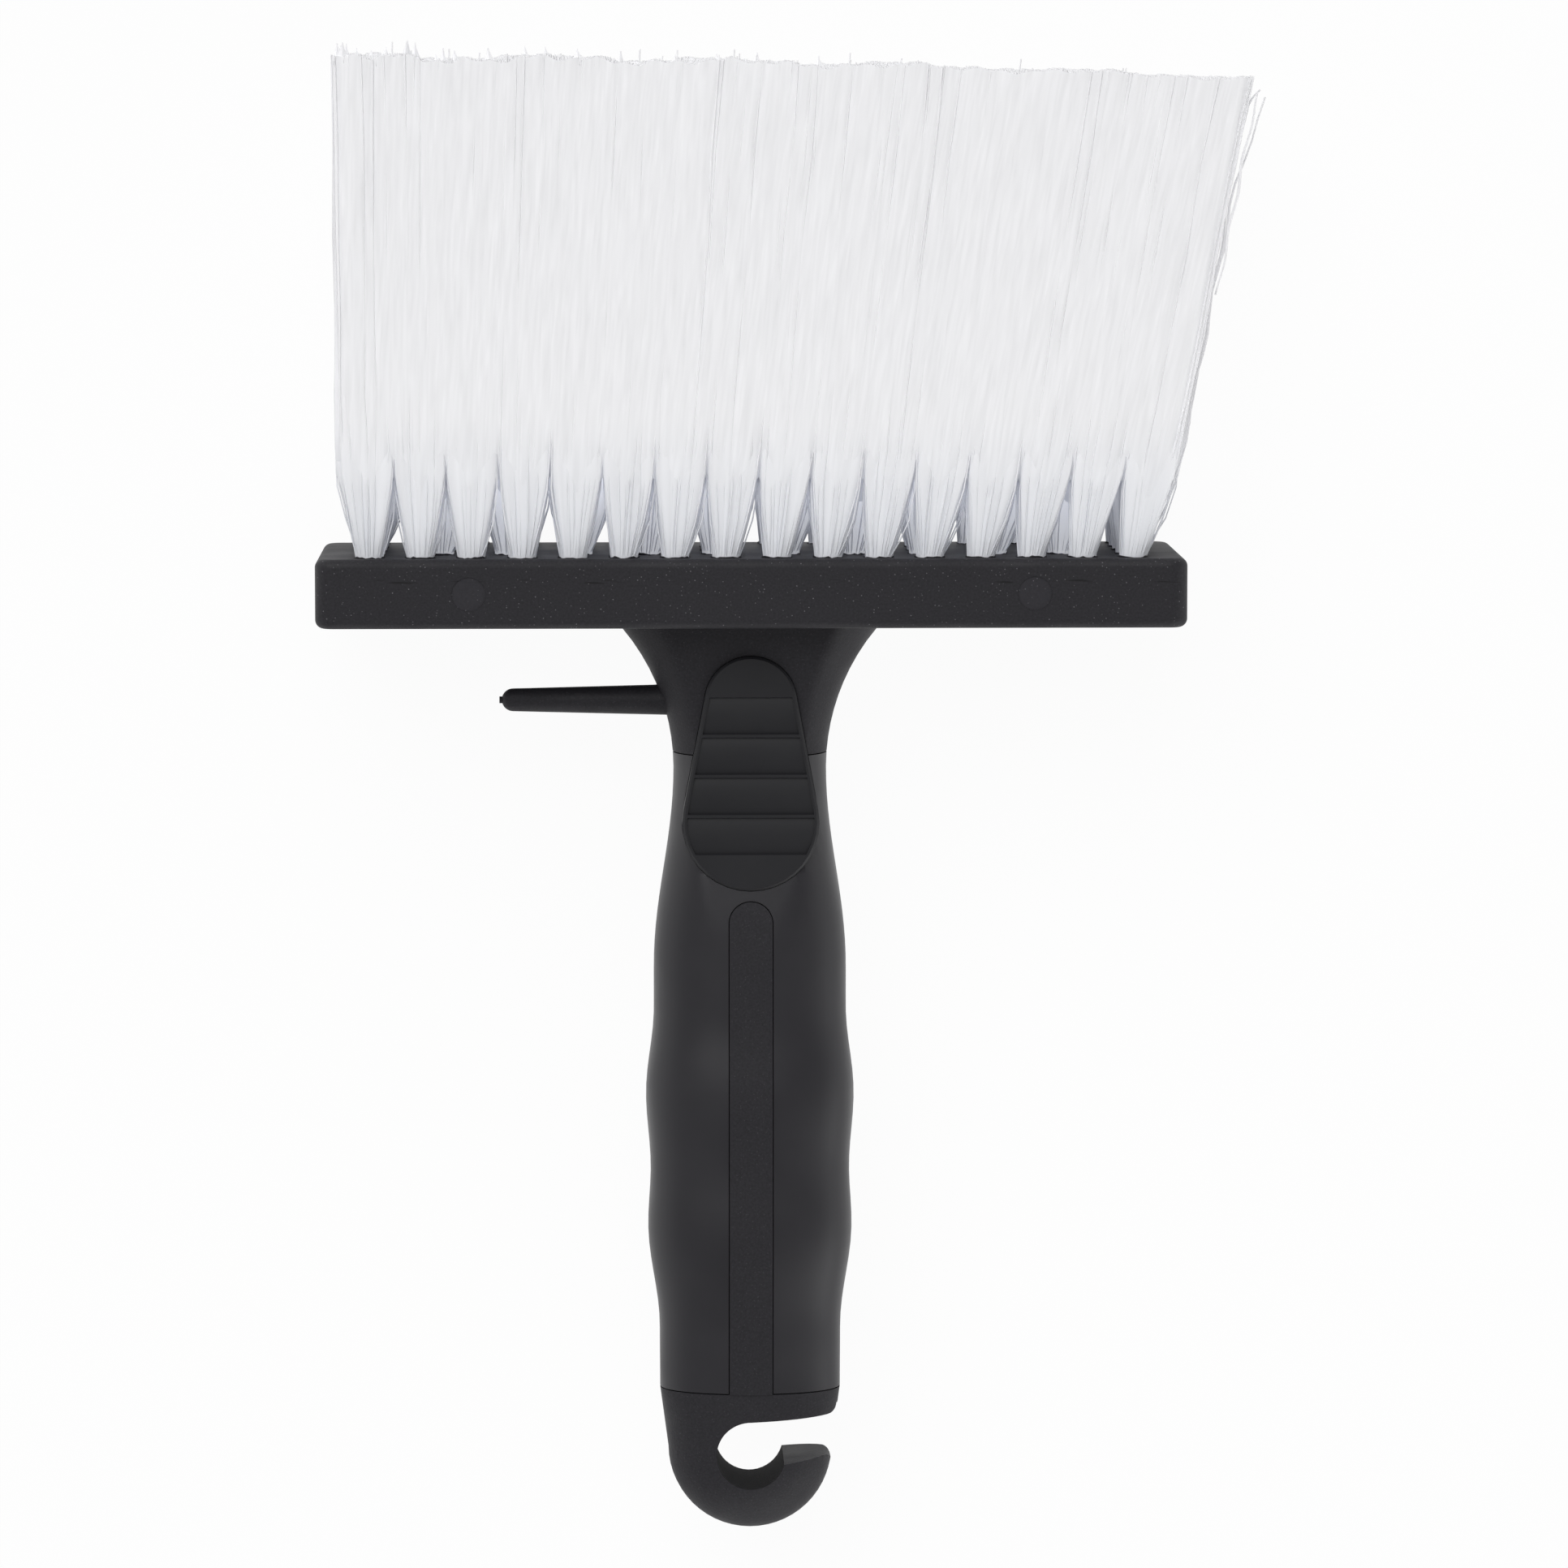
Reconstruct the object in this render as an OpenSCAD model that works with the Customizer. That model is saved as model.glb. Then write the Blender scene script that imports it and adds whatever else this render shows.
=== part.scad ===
// Wide block brush: a moulded stock, a soft grip, two thumb pads and five rows of set tufts.
// The brush lies on its back. X runs along the block, Y towards the bristle tips, Z up through the front.
// The origin is the middle of the flat back face of the block.

/* [Block] */
// Length of the block
block_l = 150; // [140:1:200]
// Depth of the block, from the back face to the front face
block_d = 44; // [40:1:60]
// Height of the block along the bristles
block_h = 12; // [11:0.5:20]
// Radius of the four upright corners
block_corner_r = 3.3; // [2.2:0.1:6]
// Radius of the long and short edges
block_edge_r = 1.5; // [0.5:0.1:2]
// Distance of an ejector mark from the middle of the block
ejector_x = 48.6; // [30:0.1:60]
// Radius of an ejector mark
ejector_r = 2.95; // [1.5:0.05:4]
// Depth of an ejector mark
ejector_depth = 0.15; // [0.05:0.05:0.5]

/* [Tufts] */
// Tufts in each of the two outer rows
outer_count = 16; // [8:1:16]
// Tufts in each of the three inner rows
inner_count = 12; // [6:1:12]
// Distance from the end of the block to the nearest tuft's middle
tuft_end_margin = 9.3; // [7:0.1:14]
// Distance from the front or back face to the nearest tuft's middle
tuft_face_margin = 5; // [4.5:0.1:7]
// Radius of a tuft hole
hole_r = 2.5; // [1.5:0.05:2.7]
// Depth of a tuft hole
hole_depth = 9; // [6:0.5:9.5]
// Gap between a tuft's root and the wall of its hole
root_clear = 0.05; // [0.02:0.01:0.2]
// Length of the root that stands clear of the hole before the tuft spreads
root_rise = 0.3; // [0.1:0.1:1]
// Length of the bristles above the block at the left end
bristle_l = 85.5; // [50:0.5:120]
// How much shorter the bristles are at the right end
tip_drop = 3.6; // [0:0.1:8]
// How far the tips of the strands stray up or down
tip_stray = 0.7; // [0:0.1:2]
// Length of the rows at the tips, over the outer sides of the end tufts
tips_l = 157.1; // [130:0.1:200]
// How far the tips lean to the right
lean = 7.1; // [-10:0.1:10]
// Height above the block at which the tufts have spread
flare_h = 17; // [8:0.5:30]
// Gap between neighbouring tufts once they have spread
tuft_gap = 0.3; // [0.1:0.1:1.5]
// Share of its own field that a strand fills
strand_fill = 0.8; // [0.4:0.05:0.9]

/* [Anchors] */
// Thickness of the flat wire
anchor_t = 0.45; // [0.3:0.05:0.8]
// Height of an anchor along the hole
anchor_h = 1.8; // [1:0.1:2.5]
// Gap around an anchor
anchor_clear = 0.05; // [0.02:0.01:0.1]
// Thickness of the folded bristles under an anchor
fold_t = 0.9; // [0.5:0.1:1.5]

/* [Neck] */
// Distance from the block to the waist
neck_l = 26; // [24.5:0.5:30]
// Radius of the hollow sides that widen the neck towards the block
neck_r = 38; // [34:0.5:60]
// How much the neck thickens, front and back, towards the block
neck_gain = 2; // [0:0.1:5]
// Fullness of the neck's section, cut off flat at the front and the back
neck_crown = 1.35; // [1:0.01:1.6]
// Distance from the block to the seam where the soft grip begins
seam_at = 23; // [18:0.5:24.5]
// Gap at either end of the soft grip
seam_gap = 0.2; // [0.05:0.05:0.5]

/* [Grip] */
// Width at the waist
waist_w = 26.7; // [25:0.1:32]
// Thickness at the waist
waist_t = 18; // [16:0.1:22]
// Distance from the waist to the straight shoulder
shoulder_l = 35; // [28:0.5:45]
// Width at the shoulder
shoulder_w = 33.7; // [28:0.1:40]
// Thickness at the shoulder
shoulder_t = 23; // [19:0.1:28]
// Length of the straight shoulder
straight_l = 7; // [2:0.5:15]
// Distance from the shoulder to the first swell
swell_l = 15.5; // [8:0.5:25]
// Width at the first swell
swell_w = 36.5; // [30:0.1:44]
// Thickness at the first swell
swell_t = 25.2; // [19:0.1:32]
// Distance from the first swell to the dip
dip_l = 13; // [6:0.5:20]
// Width at the dip
dip_w = 34.9; // [28:0.1:40]
// Thickness at the dip
dip_t = 24.2; // [19:0.1:30]
// Distance from the dip to the second swell
second_l = 10; // [6:0.5:20]
// Width at the second swell
second_w = 35.8; // [28:0.1:42]
// Thickness at the second swell
second_t = 24.8; // [19:0.1:30]
// Distance from the second swell to the end of the taper
taper_l = 18.5; // [10:0.5:30]
// Width at the end of the taper
taper_w = 31.8; // [26:0.1:40]
// Thickness at the end of the taper
taper_t = 20.8; // [18:0.1:28]
// Distance from the taper to the end of the grip
tail_l = 10.6; // [4:0.1:20]
// Width at the end of the grip
end_w = 31.7; // [29:0.1:40]
// Thickness at the end of the grip
end_t = 19.5; // [17:0.1:28]
// Fullness of the section along the grip, 2 for an ellipse
grip_fullness = 2.4; // [2:0.1:3]
// Fullness of the section at the hook end
end_fullness = 2.2; // [2:0.1:5]

/* [Core] */
// Width of the core inside the grip
core_w = 21; // [16:0.5:22]
// Thickness of the core inside the grip
core_t = 13; // [10:0.5:14]
// Radius of the core's corners
core_r = 4; // [1:0.1:4.5]
// Gap between the core and the grip moulded round it
bond_gap = 0.05; // [0.02:0.01:0.2]
// Width of the core's rib that shows through the grip
strip_w = 7.5; // [4:0.1:10]
// Distance from the block to the rib's round top end
strip_at = 48.5; // [48.5:0.5:70]
// How far the rib stands above the grip
strip_proud = 0.2; // [0.05:0.05:1]
// Gap beside the rib
strip_gap = 0.15; // [0.05:0.05:0.5]

/* [Thumb pads] */
// Distance from the block to the middle of the pad's small end
pad_at = 13.7; // [11:0.1:15]
// Distance between the middles of the pad's two round ends
pad_l = 21; // [10:0.1:22]
// Radius of the small end
pad_small_r = 8; // [5:0.1:9]
// Radius of the large end
pad_large_r = 11.9; // [9:0.1:12]
// Thickness of the pad
pad_t = 4.5; // [4:0.1:6]
// Width of the sloped edge round the pad's top
pad_edge = 0.4; // [0.1:0.05:0.6]
// Gap round the pad in its pocket
pad_clear = 0.1; // [0.05:0.05:0.3]
// Cross ridges on the pad
ridge_count = 5; // [2:1:5]
// Distance from the top of the pad to the first ridge
ridge_at = 6.8; // [4:0.1:7]
// Distance between ridges
ridge_pitch = 7; // [4:0.05:7.2]
// Width of a ridge's crest
ridge_w = 0.5; // [0.2:0.05:1.5]
// Depth of the hollow between two ridges
ridge_depth = 0.45; // [0.3:0.05:1.2]
// How much a ridge widens on either side towards its foot
ridge_slope = 0.2; // [0.05:0.05:0.5]
// How far the floor of a hollow swells in its middle
ridge_swell = 0.25; // [0.05:0.05:0.3]
// Width of the plain rim outside the hollows
pad_rim = 0.8; // [0.7:0.1:3]

/* [Peg] */
// Distance from the block to the peg's axis
peg_at = 14.1; // [10:0.1:18]
// Distance from the middle of the neck to the peg's tip
peg_reach = 43.3; // [25:0.1:60]
// Radius of the peg at the neck
peg_root_r = 3.05; // [2.2:0.05:4]
// Radius of the peg at the tip
peg_tip_r = 2; // [1:0.05:2.1]
// Radius of the gate mark on the tip
nub_r = 0.6; // [0.3:0.05:0.9]
// Length of the gate mark on the tip
nub_l = 0.4; // [0.2:0.05:1]

/* [Hook] */
// Distance from the end of the grip to the middle of the eye
eye_at = 10.9; // [9.5:0.1:15]
// Distance of the eye's middle below the middle of the hook's round outside
eye_drop = 0.2; // [0:0.1:2]
// Radius of the eye
eye_r = 6; // [4:0.1:7]
// Radius of the outside of the hook
hook_r = 14.4; // [12:0.1:15]
// Width of the mouth at the middle of the eye
mouth_w = 8.4; // [6:0.1:9]
// Slope of the upper wall of the mouth, in degrees
mouth_slope = 2.6; // [0:0.1:4]
// Slope of the lower wall of the mouth, the top of the hook's tip, in degrees
tip_slope = 7.5; // [0:0.1:9]
// Radius of the corner above the mouth
lip_r = 1.5; // [0.5:0.1:2.4]
// Radius of the outer corner of the hook's tip
tip_r = 1.3; // [0.5:0.1:3]

/* [Hidden] */
$fn = 48;

row_count = 5;
strand_count = 5;
root_sides = 2 * strand_count;
loft_sides = 48;
loft_step = 2.6;
rim_steps = 10;
arc_steps = 20;
corner_steps = 6;
swell_steps = 8;
hook_steps = 6;
overlap = 1;
mid_z = block_d / 2;
top_y = block_h / 2;
under_y = -block_h / 2;
tuft_span = block_l - 2 * tuft_end_margin;
row_pitch = (block_d - 2 * tuft_face_margin) / (row_count - 1);
root_r = hole_r - root_clear;
hole_floor_y = top_y - hole_depth;
shoulder_at = neck_l + shoulder_l;
swell_at = shoulder_at + straight_l + swell_l;
dip_at = swell_at + dip_l;
second_at = dip_at + second_l;
taper_at = second_at + taper_l;
grip_end_at = taper_at + tail_l;
eye_y = under_y - grip_end_at - eye_at;
hook_at = eye_at - eye_drop;
hook_y = under_y - grip_end_at - hook_at;
seat_h = core_t / 2;
pad_top_at = pad_at - pad_small_r;
hollow_w = ridge_pitch - ridge_w - 2 * ridge_slope;
hollow_floor = pad_t - ridge_depth;
swell_r = (hollow_w * hollow_w / 4 + ridge_swell * ridge_swell) / (2 * ridge_swell);
black = "#2E2D31";
soft_black = "#343338";
bristle_white = "#E9E9ED";
wire_grey = "#9A9CA0";

// Each station: distance from the block, half width, half thickness, crown, fullness
stations = [
  [neck_l, waist_w / 2, waist_t / 2, neck_crown, 2],
  [shoulder_at, shoulder_w / 2, shoulder_t / 2, 1, grip_fullness],
  [shoulder_at + straight_l, shoulder_w / 2, shoulder_t / 2, 1, grip_fullness],
  [swell_at, swell_w / 2, swell_t / 2, 1, grip_fullness],
  [dip_at, dip_w / 2, dip_t / 2, 1, grip_fullness],
  [second_at, second_w / 2, second_t / 2, 1, grip_fullness],
  [taper_at, taper_w / 2, taper_t / 2, 1, end_fullness],
  [grip_end_at, end_w / 2, end_t / 2, 1, end_fullness]
];

function mix(a, b, u) = a + (b - a) * u;
function ease(u) = (1 - cos(180 * min(max(u, 0), 1))) / 2;
function signed_power(v, p) = sign(v) * pow(abs(v), p);

// The span of two stations that holds the distance d
function span_at(d) = max([for (i = [0:len(stations) - 2]) if (i == 0 || d >= stations[i][0]) i]);
function eased(d, column) =
  let (a = stations[span_at(d)], b = stations[span_at(d) + 1])
  mix(a[column], b[column], ease((d - a[0]) / (b[0] - a[0])));

// Half width and half thickness of the handle at a distance from the block
function half_w(d) =
  d >= neck_l ? eased(d, 1)
  : waist_w / 2 + neck_r - sqrt(neck_r * neck_r - (neck_l - d) * (neck_l - d));
function half_t(d) =
  d >= neck_l ? eased(d, 2) : waist_t / 2 + neck_gain * pow((neck_l - d) / neck_l, 2);

// A point of a section: a superellipse that may be cut off flat at the front and the back
function section_point(a, w, t, crown, fullness) =
  let (x = w * signed_power(cos(a), 2 / fullness), h = crown * t * signed_power(sin(a), 2 / fullness))
  [x, min(max(h, -t), t)];
function ring(d, w, t, crown, fullness) = [
  for (i = [0:loft_sides - 1])
    let (p = section_point(360 * i / loft_sides, w, t, crown, fullness))
    [p[0], under_y - d, mid_z + p[1]]
];
function handle_ring(d, proud) = ring(d, half_w(d) + proud, half_t(d) + proud, eased(d, 3), eased(d, 4));

// Distances from one end of a loft to the other, the far end first
function loft_marks(from, to) =
  let (n = ceil((to - from) / loft_step))
  [for (i = [0:n]) mix(to, from, i / n)];
function handle_rings(from, to, proud) = [for (d = loft_marks(from, to)) handle_ring(d, proud)];

module loft(rings) {
  sides = len(rings[0]);
  last = len(rings) - 1;
  polyhedron(
    points = [for (r = rings) each r],
    faces = concat(
      [[for (j = [0:sides - 1]) sides - 1 - j]],
      [[for (j = [0:sides - 1]) last * sides + j]],
      [for (k = [0:last - 1]) for (j = [0:sides - 1])
        [k * sides + j, k * sides + (j + 1) % sides, (k + 1) * sides + (j + 1) % sides]],
      [for (k = [0:last - 1]) for (j = [0:sides - 1])
        [k * sides + j, (k + 1) * sides + (j + 1) % sides, (k + 1) * sides + j]]
    )
  );
}

// Turns a flat outline so that its thickness runs along the handle, from y1 back to y0
module along_y(y0, y1) {
  translate([0, y1, 0]) rotate([90, 0, 0]) linear_extrude(y1 - y0) children();
}

// A rectangle with round corners, centred
module rounded_rect(w, h, r) {
  square([w - 2 * r, h], center = true);
  square([w, h - 2 * r], center = true);
  for (sx = [-1, 1], sy = [-1, 1]) translate([sx * (w / 2 - r), sy * (h / 2 - r)]) circle(r);
}

// Block with round upright corners and round edges
module block_form() {
  corner_x = block_l / 2 - block_corner_r;
  corner_z = block_d / 2 - block_corner_r;
  translate([0, 0, mid_z]) {
    linear_extrude(2 * corner_z, center = true) rounded_rect(block_l, block_h, block_edge_r);
    rotate([0, 90, 0]) linear_extrude(2 * corner_x, center = true)
      rounded_rect(block_d, block_h, block_edge_r);
    for (sx = [-1, 1], sz = [-1, 1]) translate([sx * corner_x, 0, sz * corner_z])
      rotate([90, 0, 0]) rotate_extrude() intersection() {
        rounded_rect(2 * block_corner_r, block_h, block_edge_r);
        translate([0, -block_h]) square([2 * block_corner_r, 2 * block_h]);
      }
  }
}

function row_tufts(row) = row == 1 || row == row_count ? outer_count : inner_count;
function row_z(row) = block_d - tuft_face_margin - (row - 1) * row_pitch;
function tuft_x(row, i) = tuft_span * (i / (row_tufts(row) - 1) - 0.5);

module at_tufts(row) {
  for (i = [0:row_tufts(row) - 1]) translate([tuft_x(row, i), 0, row_z(row)]) children();
}

module tuft_holes() {
  for (row = [1:row_count]) at_tufts(row)
    translate([0, hole_floor_y, 0]) rotate([-90, 0, 0]) cylinder(r = hole_r, h = hole_depth + overlap);
}

module ejector_marks() {
  for (s = [-1, 1]) translate([s * ejector_x, 0, block_d - ejector_depth])
    cylinder(r = ejector_r, h = ejector_depth + overlap);
}

// Core bar inside the grip, and the same form grown for the grip's hollow
module core(grow) {
  translate([0, 0, mid_z]) along_y(under_y - grip_end_at - overlap, under_y - seam_at + overlap)
    rounded_rect(core_w + 2 * grow, core_t + 2 * grow, core_r + grow);
}

// Upright web whose front and back edges are the ribs that show in the grip
module web(grow, end) {
  r = strip_w / 2 + grow;
  top = under_y - strip_at - strip_w / 2;
  linear_extrude(block_d) {
    translate([0, top]) circle(r);
    translate([-r, under_y - grip_end_at - end]) square([2 * r, top - under_y + grip_end_at + end]);
  }
}

module ribs() {
  intersection() {
    web(0, 0);
    loft(handle_rings(strip_at - loft_step, grip_end_at, strip_proud));
  }
}

function arc(middle, r, from, to, steps) =
  [for (i = [0:steps]) let (a = mix(from, to, i / steps)) middle + r * [cos(a), sin(a)]];

// Outline of the thumb pad: two arcs joined by their common tangents
module pad_outline(grow) {
  a = asin((pad_large_r - pad_small_r) / pad_l);
  translate([0, under_y - pad_at]) polygon(concat(
    arc([0, 0], pad_small_r + grow, a, 180 - a, arc_steps),
    arc([0, -pad_l], pad_large_r + grow, 180 - a, 360 + a, arc_steps)
  ));
}

module pad_pockets() {
  for (s = [0, 1]) translate([0, 0, mid_z]) mirror([0, 0, s])
    translate([0, 0, seat_h]) linear_extrude(block_d / 2) pad_outline(pad_clear);
}

// Profile of the hollow between two ridges: sloped sides and a floor that swells in the middle
module hollow_profile() {
  half = hollow_w / 2;
  a = asin(half / swell_r);
  polygon(concat(
    arc([0, hollow_floor + ridge_swell - swell_r], swell_r, 90 + a, 90 - a, swell_steps),
    [[half + ridge_slope, pad_t], [half + ridge_slope, pad_t + overlap]],
    [[-half - ridge_slope, pad_t + overlap], [-half - ridge_slope, pad_t]]
  ));
}

// Hollows between the cross ridges, kept inside the rim
module pad_hollows() {
  first_y = under_y - pad_top_at - ridge_at - ridge_pitch / 2;
  intersection() {
    linear_extrude(2 * pad_t) pad_outline(-pad_rim);
    for (i = [0:ridge_count - 2]) translate([0, first_y - i * ridge_pitch, 0])
      rotate([90, 0, 90]) linear_extrude(4 * pad_large_r, center = true) hollow_profile();
  }
}

module thumb_pad() {
  translate([0, 0, seat_h]) difference() {
    hull() {
      linear_extrude(pad_t - pad_edge) pad_outline(0);
      linear_extrude(pad_t) pad_outline(-pad_edge);
    }
    pad_hollows();
  }
}

// Tapered peg that rests the brush on a bucket's rim
module peg() {
  cone_l = peg_reach - peg_tip_r;
  translate([0, under_y - peg_at, mid_z]) rotate([0, -90, 0]) {
    cylinder(r1 = peg_root_r, r2 = peg_tip_r, h = cone_l);
    translate([0, 0, cone_l]) sphere(peg_tip_r);
    translate([0, 0, cone_l]) cylinder(r = nub_r, h = peg_tip_r + nub_l);
  }
}

// Solid end of the stock: a taper from the grip's end to the round outside of the hook
function end_w_at(u) = mix(end_w / 2, hook_r, u);
module hook_form() {
  loft([
    for (i = [0:hook_steps])
      let (u = 1 - i / hook_steps)
      ring(grip_end_at + u * hook_at, end_w_at(u), end_t / 2, 1, end_fullness)
  ]);
  side = [
    for (i = [1 - rim_steps:rim_steps - 1])
      section_point(90 * i / rim_steps, hook_r, end_t / 2, 1, end_fullness)
  ];
  translate([0, hook_y, mid_z]) rotate([0, 0, 180]) rotate_extrude(angle = 180)
    polygon(concat([[0, -end_t / 2]], side, [[0, end_t / 2]]));
}

// Rounds the corner of the solid end above the mouth, seen from the middle of the eye
function lip_arc() =
  let (
    x = end_w_at((eye_at - eye_r) / hook_at) - lip_r,
    y = eye_r + x * tan(mouth_slope) + lip_r / cos(mouth_slope)
  )
  arc([x, y], lip_r, mouth_slope - 90, 0, corner_steps);

// Rounds the outer corner of the hook's tip, from the outside of the hook onto its sloping top
function tip_arc(tip_y) =
  let (
    m = tan(tip_slope),
    y = tip_y - eye_drop - tip_r / cos(tip_slope),
    x = (sqrt((1 + m * m) * pow(hook_r - tip_r, 2) - y * y) - m * y) / (1 + m * m),
    middle = [x, y + m * x]
  )
  arc(middle + [0, eye_drop], tip_r, atan2(middle[1], middle[0]), 90 + tip_slope, corner_steps);

// Round eye and its mouth, which opens to the right
module hook_opening() {
  tip_y = eye_r - mouth_w;
  lip = lip_arc();
  tip = tip_arc(tip_y);
  out_x = 2 * hook_r;
  translate([0, eye_y, 0]) linear_extrude(block_d) {
    circle(eye_r);
    polygon(concat(
      [[0, eye_r]],
      lip,
      [[out_x, lip[corner_steps][1]], [out_x, tip[0][1]]],
      tip,
      [[0, tip_y]]
    ));
  }
}

module stock() {
  color(black) {
    difference() {
      block_form();
      tuft_holes();
      ejector_marks();
    }
    difference() {
      union() {
        loft(handle_rings(-overlap, seam_at, 0));
        core(0);
        ribs();
        peg();
      }
      pad_pockets();
    }
    difference() {
      hook_form();
      hook_opening();
    }
  }
}

module grip_sleeve() {
  color(soft_black) difference() {
    loft(handle_rings(seam_at + seam_gap, grip_end_at - seam_gap, 0));
    core(bond_gap);
    web(strip_gap, overlap);
    pad_pockets();
  }
}

module thumb_pad_front() {
  color(soft_black) translate([0, 0, mid_z]) thumb_pad();
}

module thumb_pad_back() {
  color(soft_black) translate([0, 0, mid_z]) mirror([0, 0, 1]) thumb_pad();
}

// Middle of a tuft and half of its own field, in X and Z, at a share of the bristle length
function tuft_middle(row, i, share) =
  [mix(tuft_x(row, i), lean + tips_l * ((i + 0.5) / row_tufts(row) - 0.5), share), row_z(row)];
function tuft_field(row, share) =
  let (n = row_tufts(row), pitch = mix(tuft_span / (n - 1), tips_l / n, share))
  [(pitch - tuft_gap) / 2, (row_pitch - tuft_gap) / 2];

// Corners of a strand's kite in the unit circle, and a strand's ring at one level
function unit(j) = [cos(360 * j / root_sides), sin(360 * j / root_sides)];
function kite(s) = [[0, 0], unit(2 * s), unit(2 * s + 1), unit(2 * s + 2)];
function strand_ring(row, i, s, share, y) =
  let (
    k = kite(s),
    g = (k[0] + k[1] + k[2] + k[3]) / 4,
    f = tuft_field(row, share),
    m = tuft_middle(row, i, share)
  )
  [for (v = k) let (p = g + strand_fill * (v - g)) [m[0] + f[0] * p[0], y, m[1] + f[1] * p[1]]];
function root_ring(row, i, y) =
  [for (j = [0:root_sides - 1]) [tuft_x(row, i), y, row_z(row)] + root_r * [unit(j)[0], 0, unit(j)[1]]];
function strand_tip_y(row, i, s) =
  let (seed = row * 1000 + i * 10 + s, right = tuft_x(row, i) / block_l + 0.5)
  top_y + bristle_l - tip_drop * right * right + rands(-tip_stray, tip_stray, 1, seed)[0];

// The wall between two rings of four corners, given by their point numbers
function strand_wall(a, b) = [
  for (j = [0:3]) each [[a[j], a[(j + 1) % 4], b[(j + 1) % 4]], [a[j], b[(j + 1) % 4], b[j]]]
];
function four(start) = [start, start + 1, start + 2, start + 3];

// One tuft: a root that divides into strands
module tuft(row, i) {
  crown = 2 * root_sides;
  first = crown + 1;
  flare = flare_h / bristle_l;
  upper = function(j) root_sides + j % root_sides;
  foot = function(s) [crown, upper(2 * s), upper(2 * s + 1), upper(2 * s + 2)];
  polyhedron(
    points = concat(
      root_ring(row, i, hole_floor_y + root_clear),
      root_ring(row, i, top_y + root_rise),
      [[tuft_x(row, i), top_y + root_rise, row_z(row)]],
      [for (s = [0:strand_count - 1]) each strand_ring(row, i, s, flare, top_y + flare_h)],
      [for (s = [0:strand_count - 1]) each strand_ring(row, i, s, 1, strand_tip_y(row, i, s))]
    ),
    faces = concat(
      [for (j = [1:root_sides - 2]) [0, j + 1, j]],
      [for (j = [0:root_sides - 1]) let (n = (j + 1) % root_sides) [j, n, root_sides + n]],
      [for (j = [0:root_sides - 1]) let (n = (j + 1) % root_sides) [j, root_sides + n, root_sides + j]],
      [for (s = [0:strand_count - 1]) each strand_wall(foot(s), four(first + 4 * s))],
      [for (s = [0:strand_count - 1])
        each strand_wall(four(first + 4 * s), four(first + 4 * (strand_count + s)))],
      [for (s = [0:strand_count - 1])
        let (e = four(first + 4 * (strand_count + s))) each [[e[0], e[1], e[2]], [e[0], e[2], e[3]]]]
    )
  );
}

// Flat wire that holds a tuft's fold down in its hole, and its slot when grown
module anchor(grow, length) {
  translate([0, hole_floor_y + root_clear + fold_t + anchor_h / 2, 0])
    cube([length, anchor_h + 2 * grow, anchor_t + 2 * grow], center = true);
}

module tuft_row(row) {
  color(bristle_white) for (i = [0:row_tufts(row) - 1]) difference() {
    tuft(row, i);
    translate([tuft_x(row, i), 0, row_z(row)]) anchor(anchor_clear, 2 * hole_r);
  }
}

module anchor_row(row) {
  color(wire_grey) at_tufts(row) anchor(0, 2 * (root_r - anchor_clear));
}

stock();
grip_sleeve();
thumb_pad_front();
thumb_pad_back();
for (row = [1:row_count]) {
  tuft_row(row);
  anchor_row(row);
}
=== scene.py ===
"""Wide block brush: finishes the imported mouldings, sets the bristles and lays out the stage."""

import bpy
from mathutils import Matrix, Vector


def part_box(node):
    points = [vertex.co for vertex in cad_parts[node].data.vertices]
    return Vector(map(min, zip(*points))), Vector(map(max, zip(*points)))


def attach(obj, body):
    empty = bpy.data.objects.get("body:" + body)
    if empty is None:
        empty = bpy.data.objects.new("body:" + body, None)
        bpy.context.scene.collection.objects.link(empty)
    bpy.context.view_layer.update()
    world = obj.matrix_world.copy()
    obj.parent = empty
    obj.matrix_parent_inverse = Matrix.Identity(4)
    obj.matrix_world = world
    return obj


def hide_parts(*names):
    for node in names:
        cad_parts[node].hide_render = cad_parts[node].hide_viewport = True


bl_info = {
    "name": "Wide block brush",
    "version": (1, 0, 0),
    "blender": (4, 5, 0),
    "location": "View3D > Sidebar > Block brush",
    "description": "Finishes a wide block brush: stock, soft grip, set bristles and studio stage",
    "category": "Object",
}

import math

import bmesh
import bpy
import numpy as np
from mathutils import Matrix, Vector, noise

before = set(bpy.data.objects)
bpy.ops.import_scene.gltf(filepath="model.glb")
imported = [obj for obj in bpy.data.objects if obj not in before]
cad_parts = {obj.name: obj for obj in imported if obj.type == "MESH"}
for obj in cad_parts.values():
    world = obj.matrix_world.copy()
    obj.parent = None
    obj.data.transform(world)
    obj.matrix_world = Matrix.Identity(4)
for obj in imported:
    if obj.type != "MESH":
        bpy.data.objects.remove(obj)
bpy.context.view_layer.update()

MM = 0.001
ROWS = (1, 2, 3, 4, 5)
FULL_TURN = 2 * math.pi
GOLDEN_ANGLE = math.pi * (3 - math.sqrt(5))
# Edges that turn by more than this stay crisp
SHARP_ANGLE = math.radians(32)
# Points closer than this are merged, in the mouldings and in the filaments
MOULDING_MERGE = 0.002 * MM
FILAMENT_MERGE = 0.001 * MM

# Ejector discs on the block's front: distance from its middle, radius, soft edge, least depth
PIN_X = 48.6 * MM
PIN_R = 2.95 * MM
PIN_EDGE = 0.15 * MM
FRONT_Z = 43 * MM
# The hook's eye: its middle and the reach of its wall
EYE_Y = -152.5 * MM
EYE_WALL_R = 6.05 * MM
# The line where the halves of the mould meet: depth and half of its width
PARTING_Z = 22 * MM
PARTING_HALF = 0.075 * MM
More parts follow.
